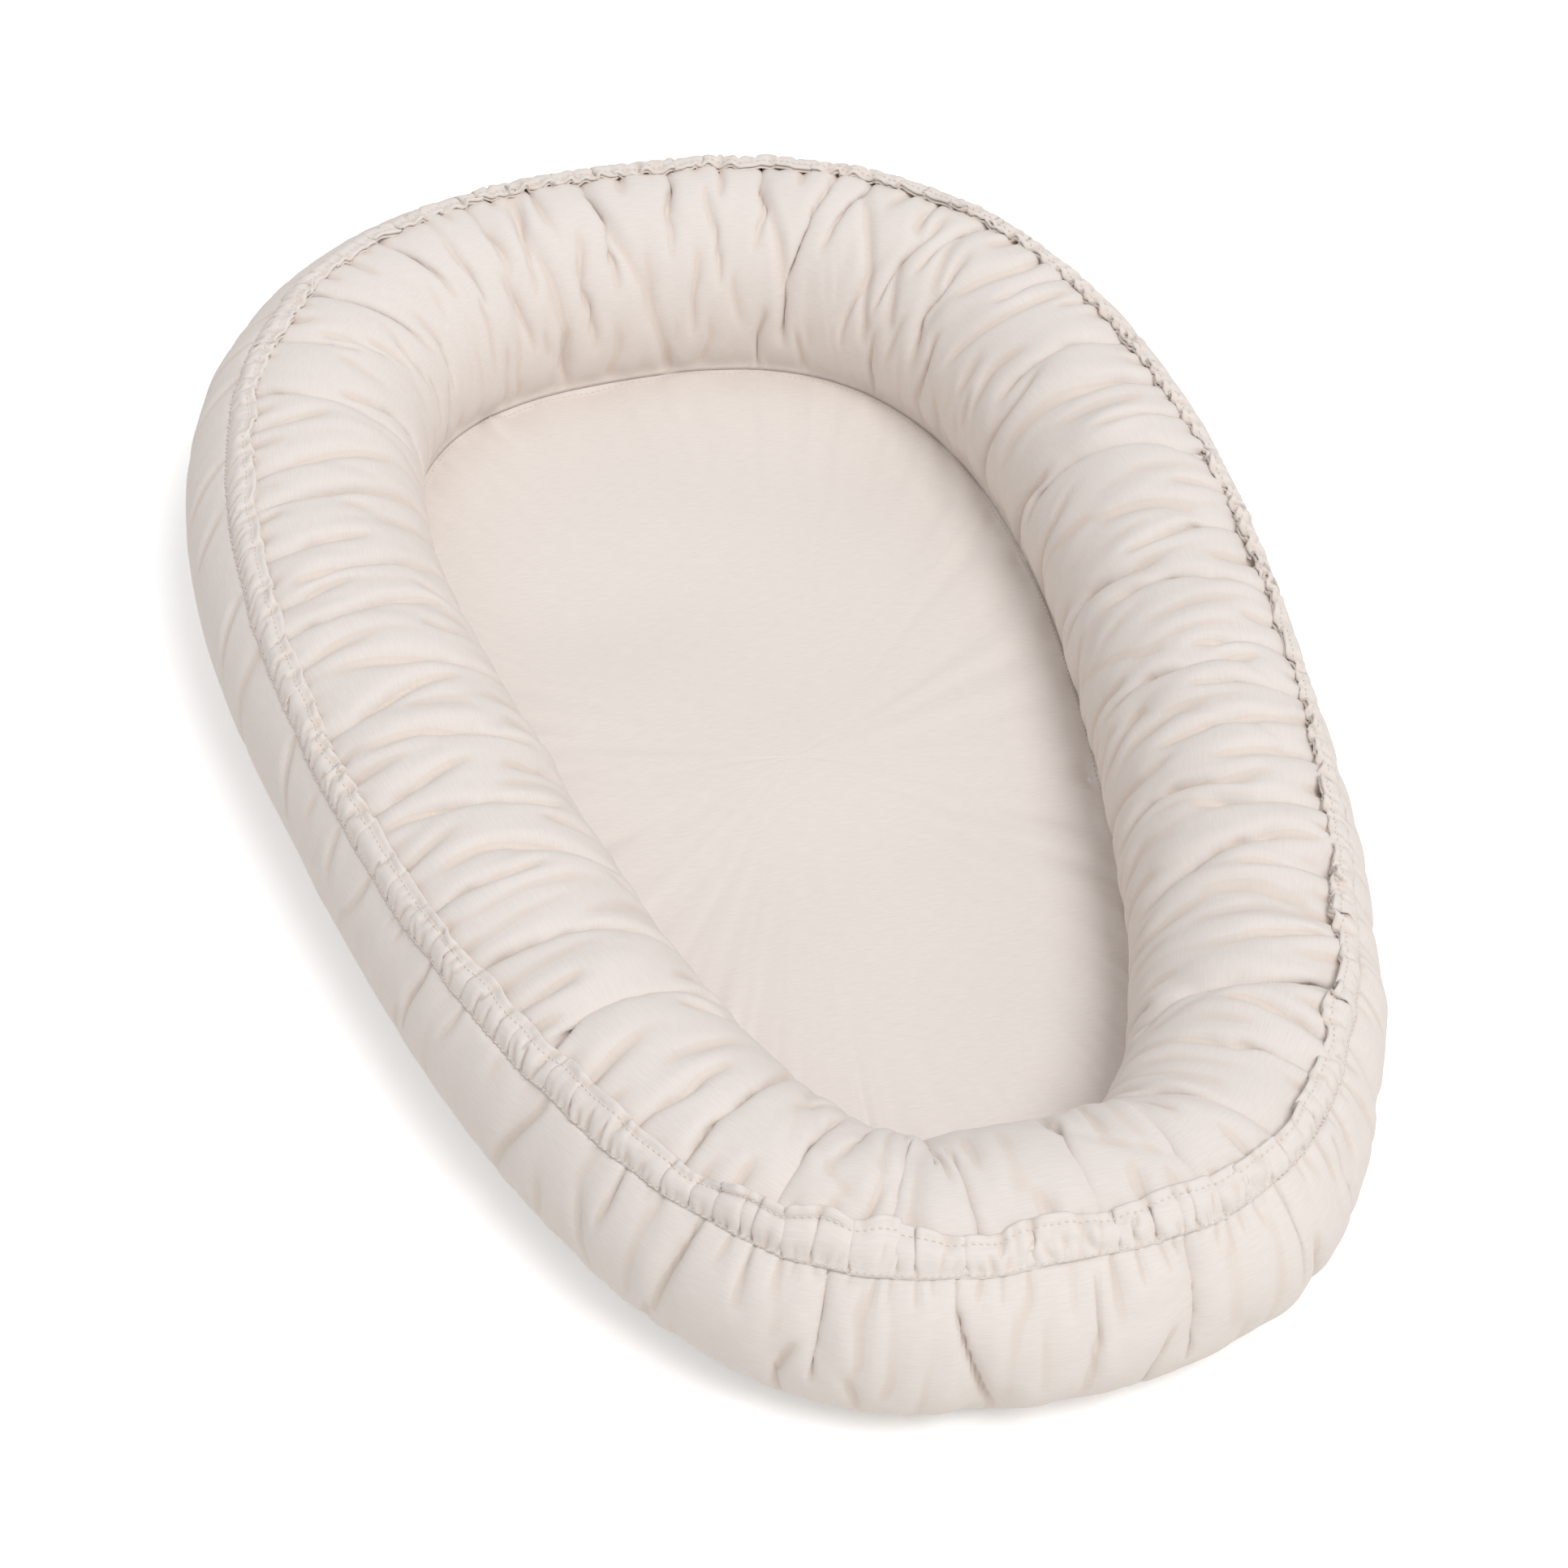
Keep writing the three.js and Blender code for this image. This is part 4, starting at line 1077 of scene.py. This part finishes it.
def makeSlider(values):
    low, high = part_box("zip_slider")
    tapeLow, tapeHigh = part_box("zip_tape_right")
    centre = (low + high) / 2
    plate, bail, half = values["plate"], values["bailHalfWidth"], values["bailHalfLength"]
    bottom = low[2] + values["bailHeight"]
    blocks = [addBlock((low[0], low[1], high[2] - plate), (high[0], high[1], high[2]), "upperPlate"),
              addBlock((low[0], low[1], bottom), (high[0], high[1], bottom + plate), "lowerPlate")]
    for way in (-1, 1):
        edges = sorted((centre[0] + way * (high[0] - centre[0]),
                        centre[0] + way * (high[0] - centre[0] - values["wall"])))
        blocks.append(addBlock((edges[0], low[1], bottom),
                               (edges[1], high[1], tapeLow[2] - values["gap"]), "lowerWall"))
        blocks.append(addBlock((edges[0], low[1], tapeHigh[2] + values["gap"]),
                               (edges[1], high[1], high[2]), "upperWall"))
    blade = values["bladeHalfWidth"]
    blocks.append(addBlock((-blade, high[1] - values["bladeLength"], bottom),
                           (blade, high[1], high[2]), "blade"))
    for way in (-1, 1):
        post = sorted((centre[1] + way * half, centre[1] + way * (half - values["bailPost"])))
        blocks.append(addBlock((-bail, post[0], low[2]), (bail, post[1], bottom + plate / 2), "bailPost"))
    blocks.append(addBlock((-bail, centre[1] - half, low[2]),
                           (bail, centre[1] + half, low[2] + values["bailBar"]), "bail"))
    slider = blocks[0]
    slider.name = "zipSlider"
    for block in blocks[1:]:
        mergeBlock(slider, block, "UNION")
    roundEdges(slider, values["rounding"], values["segments"])
    dress(slider, "slider", "zip_slider", "slider_enamel")


def makePull(values):
    low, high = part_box("zip_pull")
    pull = addBlock(low, high, "zipPull")
    # its two corners at the free end are rounded, then the eye for the bail and the grip's hole are cut
    weights = pull.data.attributes.new("bevel_weight_edge", "FLOAT", "EDGE")
    for edge in pull.data.edges:
        ends = [pull.data.vertices[corner].co for corner in edge.vertices]
        upright = abs(ends[0][2] - ends[1][2]) > values["upright"]
        weights.data[edge.index].value = 1.0 if upright and ends[0][1] < (low[1] + high[1]) / 2 else 0.0
    applyModifier(pull, "BEVEL", {"width": values["pullRounding"], "segments": values["pullSegments"],
                                  "limit_method": "WEIGHT"})
    eye, grip, past = values["eye"], values["gripHole"], values["cutPast"]
    for middle, (width, length) in ((high[1] - values["eyeEdge"] - eye[1] / 2, eye),
                                    (low[1] + values["gripMiddle"], grip)):
        hole = addBlock((-width / 2, middle - length / 2, low[2] - past),
                        (width / 2, middle + length / 2, high[2] + past), "cutter")
        mergeBlock(pull, hole, "DIFFERENCE")
    roundEdges(pull, values["rounding"], values["segments"])
    dress(pull, "pull", "zip_pull", "slider_enamel")


makeStop(zipMetal, "zipTopStop", "zip_top_stop")
makeStop(zipMetal, "zipBottomStop", "zip_bottom_stop")
makeSlider(zipMetal)
makePull(zipMetal)
print("zip metal made")

# The cover's cloth, cut flat before it was gathered; every size is measured on the settled cloth, and
# the inner band is cut like the outer one.
floorEdge = floorGrid[:, 0]
floorSpan = [float(span) for span in (floorEdge.max(0) - floorEdge.min(0))[:2]]
for label, size in (("crown", clothSize(crownGrid)), ("side", clothSize(sideGrid)),
                    ("band", clothSize(outerFace)), ("floor", floorSpan)):
    print("  flat size of the", label, round(size[0] * millimetres), "by", round(size[1] * millimetres), "mm")


# Materials. Every one is procedural; cloth reads its own map in metres, the rest Object coordinates.
def linearColour(hexColour):
    parts = [int(hexColour[start:start + 2], 16) / 255 for start in (1, 3, 5)]
    return [part / 12.92 if part <= 0.04045 else ((part + 0.055) / 1.055) ** 2.4 for part in parts] + [1]


def newMaterial(name):
    material = bpy.data.materials.new(name)
    material.use_nodes = True
    material.node_tree.nodes.clear()
    return material, material.node_tree


def addNode(tree, kind, settings=None, links=None):
    # settings name a property or an input; links name an input and the socket that feeds it
    node = tree.nodes.new("ShaderNode" + kind)
    for key, value in (settings or {}).items():
        if isinstance(key, int) or key in node.inputs:
            node.inputs[key].default_value = value
        else:
            setattr(node, key, value)
    for key, source in (links or {}).items():
        tree.links.new(source, node.inputs[key])
    return node


def mixShades(tree, values, share):
    mixed = addNode(tree, "Mix", {
        "data_type": "RGBA", 6: linearColour(values["shade"]), 7: linearColour(values["colour"])},
        {0: share})
    return mixed.outputs[2]


def finishSurface(tree, values, colour, height):
    bump = addNode(tree, "Bump", {"Strength": values["relief"], "Distance": values["depth"]},
                   {"Height": height})
    shader = addNode(tree, "BsdfPrincipled", {
        "Roughness": values["roughness"], "Sheen Weight": values["fuzz"], "Sheen Roughness": 0.5,
        "Specular IOR Level": values["gleam"]}, {"Base Color": colour, "Normal": bump.outputs[0]})
    addNode(tree, "OutputMaterial", {}, {"Surface": shader.outputs[0]})
    return shader


def clothMaterial(values):
    material, tree = newMaterial(values["name"])
    place = addNode(tree, "UVMap", {"uv_map": "weave"})
    threads = addNode(tree, "Mapping", {"Scale": (1 / values["warp"], 1 / values["weft"], 1)},
                      {"Vector": place.outputs[0]})
    warp, weft = (addNode(tree, "TexWave", {
        "wave_type": "BANDS", "bands_direction": way, "Scale": 1 / math.tau, "Distortion": 0.6,
        "Detail": 1.0}, {"Vector": threads.outputs[0]}) for way in "XY")
    crossed = addNode(tree, "Math", {"operation": "MULTIPLY"}, {0: warp.outputs[1], 1: weft.outputs[1]})
    # thicker places in the yarn make faint streaks along the weft
    along = addNode(tree, "Mapping", {"Scale": values["slubs"]}, {"Vector": place.outputs[0]})
    slub = addNode(tree, "TexNoise", {"Scale": 1.0, "Detail": 3.0, "Roughness": 0.6},
                   {"Vector": along.outputs[0]})
    shade = addNode(tree, "MapRange", {"From Min": 0.3, "From Max": 0.7, "To Min": 0.0, "To Max": 1.0},
                    {"Value": slub.outputs[0]})
    plain = mixShades(tree, values, shade.outputs[0])
    # painted shade: a warm darker colour is mixed into the bottoms of the folds, more where they are deeper
    folds = addNode(tree, "Attribute", {"attribute_type": "GEOMETRY", "attribute_name": "foldDepth"})
    paintedShadeAndGlow = addNode(tree, "MapRange", {
        "From Min": values["foldFrom"], "From Max": values["foldDepth"], "To Min": 0.0,
        "To Max": values["paintedFoldShadeStrength"]}, {"Value": folds.outputs["Fac"]})
    colour = addNode(tree, "Mix", {"data_type": "RGBA", 7: linearColour(values["paintedFoldShadeColour"])},
                     {0: paintedShadeAndGlow.outputs[0], 6: plain})
    shader = finishSurface(tree, values, colour.outputs[2], crossed.outputs[0])
    shader.inputs["Sheen Tint"].default_value = linearColour(values["colour"])
    return material


def plainMaterial(values):
    material, tree = newMaterial(values["name"])
    body = addNode(tree, "TexCoord")
    grain = addNode(tree, "TexNoise", {"Scale": values["scale"], "Detail": 4.0, "Roughness": 0.6},
                    {"Vector": body.outputs["Object"]})
    finishSurface(tree, values, mixShades(tree, values, grain.outputs[0]), grain.outputs[0])
    return material


# combed and woven as sateen: matt and even, a faint bloom at the edges, thin streaks along the weft
coverFinish = {
    "name": "combedCottonSateen", "colour": "#e8e0da", "shade": "#e1d9d3", "roughness": 0.82, "gleam": 0.25,
    "fuzz": 0.12, "warp": 0.00045, "weft": 0.00060, "relief": 0.14, "depth": 0.00005,
    # foldFrom, foldDepth and the painted fold shade keys set the painted shade in the bottoms of the folds
    "slubs": (110, 1100, 1), "foldFrom": 0.05, "foldDepth": 0.6, "paintedFoldShadeStrength": 0.28,
    "paintedFoldShadeColour": "#d9c3b1"}
# a coarser plain weave: flat, a shade darker, its crossings just seen
baseFinish = {
    **coverFinish,
    "name": "plainWovenCotton", "colour": "#ddd5cf", "shade": "#d8d0ca", "roughness": 0.88, "fuzz": 0.08,
    "warp": 0.0007, "weft": 0.0007, "relief": 0.4, "depth": 0.00009, "slubs": (110, 900, 1)}
plainFinishes = {
    # spun in short fibres: a soft round gleam on each stitch
    "sewing_thread": {
        "name": "spunPolyesterThread", "colour": "#eae2da", "shade": "#ddd3ca", "roughness": 0.6,
        "fuzz": 0.1, "scale": 2400, "relief": 0.3, "depth": 0.00005},
    # carded to a loose fleece: white, fluffy, no edge to the light
    "wadding": {
        "name": "cardedPolyesterWadding", "colour": "#f4f3f0", "shade": "#e9e8e4", "roughness": 0.95,
        "fuzz": 0.3, "scale": 160, "relief": 0.6, "depth": 0.001},
    # laid from three strands: rope's slanting ridges, dry and matt
    "cotton_cord": {
        "name": "laidCottonCord", "colour": "#ebe5dc", "shade": "#dcd5cb", "roughness": 0.85,
        "fuzz": 0.15, "scale": 1800, "relief": 0.5, "depth": 0.0001},
    # woven close and ironed: flat, with low ribs along it
    "zip_tape": {
        "name": "wovenPolyesterTape", "colour": "#e1d9d1", "shade": "#d7cfc7", "roughness": 0.8,
        "fuzz": 0.05, "scale": 1600, "relief": 0.4, "depth": 0.0001},
    # drawn through a die: smooth, with a line of light on each turn
    "nylon_coil": {
        "name": "drawnNylonFilament", "colour": "#e4ddd4", "shade": "#ddd6cd", "roughness": 0.38,
        "fuzz": 0.0, "scale": 500, "relief": 0.05, "depth": 0.00005},
    # dipped and baked: a hard smooth coat with soft highlights along its edges
    "slider_enamel": {
        "name": "bakedEnamelOnZinc", "colour": "#e0d8cf", "shade": "#dcd4cb", "roughness": 0.32,
        "fuzz": 0.0, "scale": 700, "relief": 0.06, "depth": 0.00005},
}
materials = {"cover_cloth": clothMaterial(coverFinish), "base_cloth": clothMaterial(baseFinish)}
for slot, finish in plainFinishes.items():
    materials[slot] = plainMaterial({"gleam": 0.4, **finish})
for piece in bpy.data.objects:
    if piece.type == "MESH" and piece.get("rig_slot") in materials:
        piece.data.materials.clear()
        piece.data.materials.append(materials[piece["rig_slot"]])
print("materials made")

# Soft daylight from all round, and a broad light from high at the front right.
studio = {
    "skyLow": 0.51,           # at the horizon
    "skyHigh": 0.67,          # overhead
    "sun": 1.53,
    "sunSpread": 28,          # degrees
    "sunRise": 57,
    "sunBearing": 158,        # degrees from the head end towards the right side
    "floorColour": "#ffffff",
    "floorBounce": "#f1efec",  # what light it throws back on the nest
    "floorGlow": 0.28,        # a lit white table
    "floorSize": 40,
}


def addTable(values):
    # the camera sees it white, and what stands on it gets a little less light back
    bpy.ops.object.select_all(action="DESELECT")
    bpy.ops.mesh.primitive_plane_add(size=values["floorSize"], location=(0, 0, 0))
    ground = bpy.context.object
    ground.name = "studioFloor"
    material, tree = newMaterial("mattWhiteSweep")
    matt = addNode(tree, "BsdfDiffuse", {"Color": linearColour(values["floorColour"])})
    paintedShadeAndGlow = addNode(tree, "Emission", {"Color": (1, 1, 1, 1), "Strength": values["floorGlow"]})
    lit = addNode(tree, "AddShader", {}, {0: matt.outputs[0], 1: paintedShadeAndGlow.outputs[0]})
    dull = addNode(tree, "BsdfDiffuse", {"Color": linearColour(values["floorBounce"])})
    ray = addNode(tree, "LightPath")
    direct = addNode(tree, "Math", {"operation": "ADD"},
                     {0: ray.outputs["Is Camera Ray"], 1: ray.outputs["Is Glossy Ray"]})
    clear = addNode(tree, "Math", {"operation": "ADD", "use_clamp": True},
                    {0: direct.outputs[0], 1: ray.outputs["Is Transmission Ray"]})
    shader = addNode(tree, "MixShader", {},
                     {0: clear.outputs[0], 1: dull.outputs[0], 2: lit.outputs[0]})
    addNode(tree, "OutputMaterial", {}, {"Surface": shader.outputs[0]})
    ground.data.materials.append(material)


def addLight(values):
    rise, bearing = math.radians(values["sunRise"]), math.radians(values["sunBearing"])
    towards = Vector((math.sin(bearing) * math.cos(rise), math.cos(bearing) * math.cos(rise), math.sin(rise)))
    lamp = bpy.data.lights.new("broadLight", "SUN")
    lamp.energy = values["sun"]
    lamp.angle = math.radians(values["sunSpread"])
    addObject("broadLight", lamp).rotation_euler = towards.to_track_quat("Z", "Y").to_euler()
    world = bpy.data.worlds.new("softRoom")
    bpy.context.scene.world = world
    world.use_nodes = True
    tree = world.node_tree
    tree.nodes.clear()
    ray = addNode(tree, "LightPath")
    facing = addNode(tree, "TexCoord")
    height = addNode(tree, "SeparateXYZ", {}, {0: facing.outputs["Generated"]})
    strength = addNode(tree, "MapRange", {"To Min": values["skyLow"], "To Max": values["skyHigh"]},
                       {"Value": height.outputs[2]})
    light = addNode(tree, "Background", {"Color": (1, 1, 1, 1)}, {"Strength": strength.outputs[0]})
    white = addNode(tree, "Background", {"Color": (1, 1, 1, 1), "Strength": 1.0})
    mixed = addNode(tree, "MixShader", {},
                    {0: ray.outputs["Is Camera Ray"], 1: light.outputs[0], 2: white.outputs[0]})
    addNode(tree, "OutputWorld", {}, {"Surface": mixed.outputs[0]})


addTable(studio)
addLight(studio)
bpy.context.scene.view_settings.view_transform = "Standard"
print("studio lit")
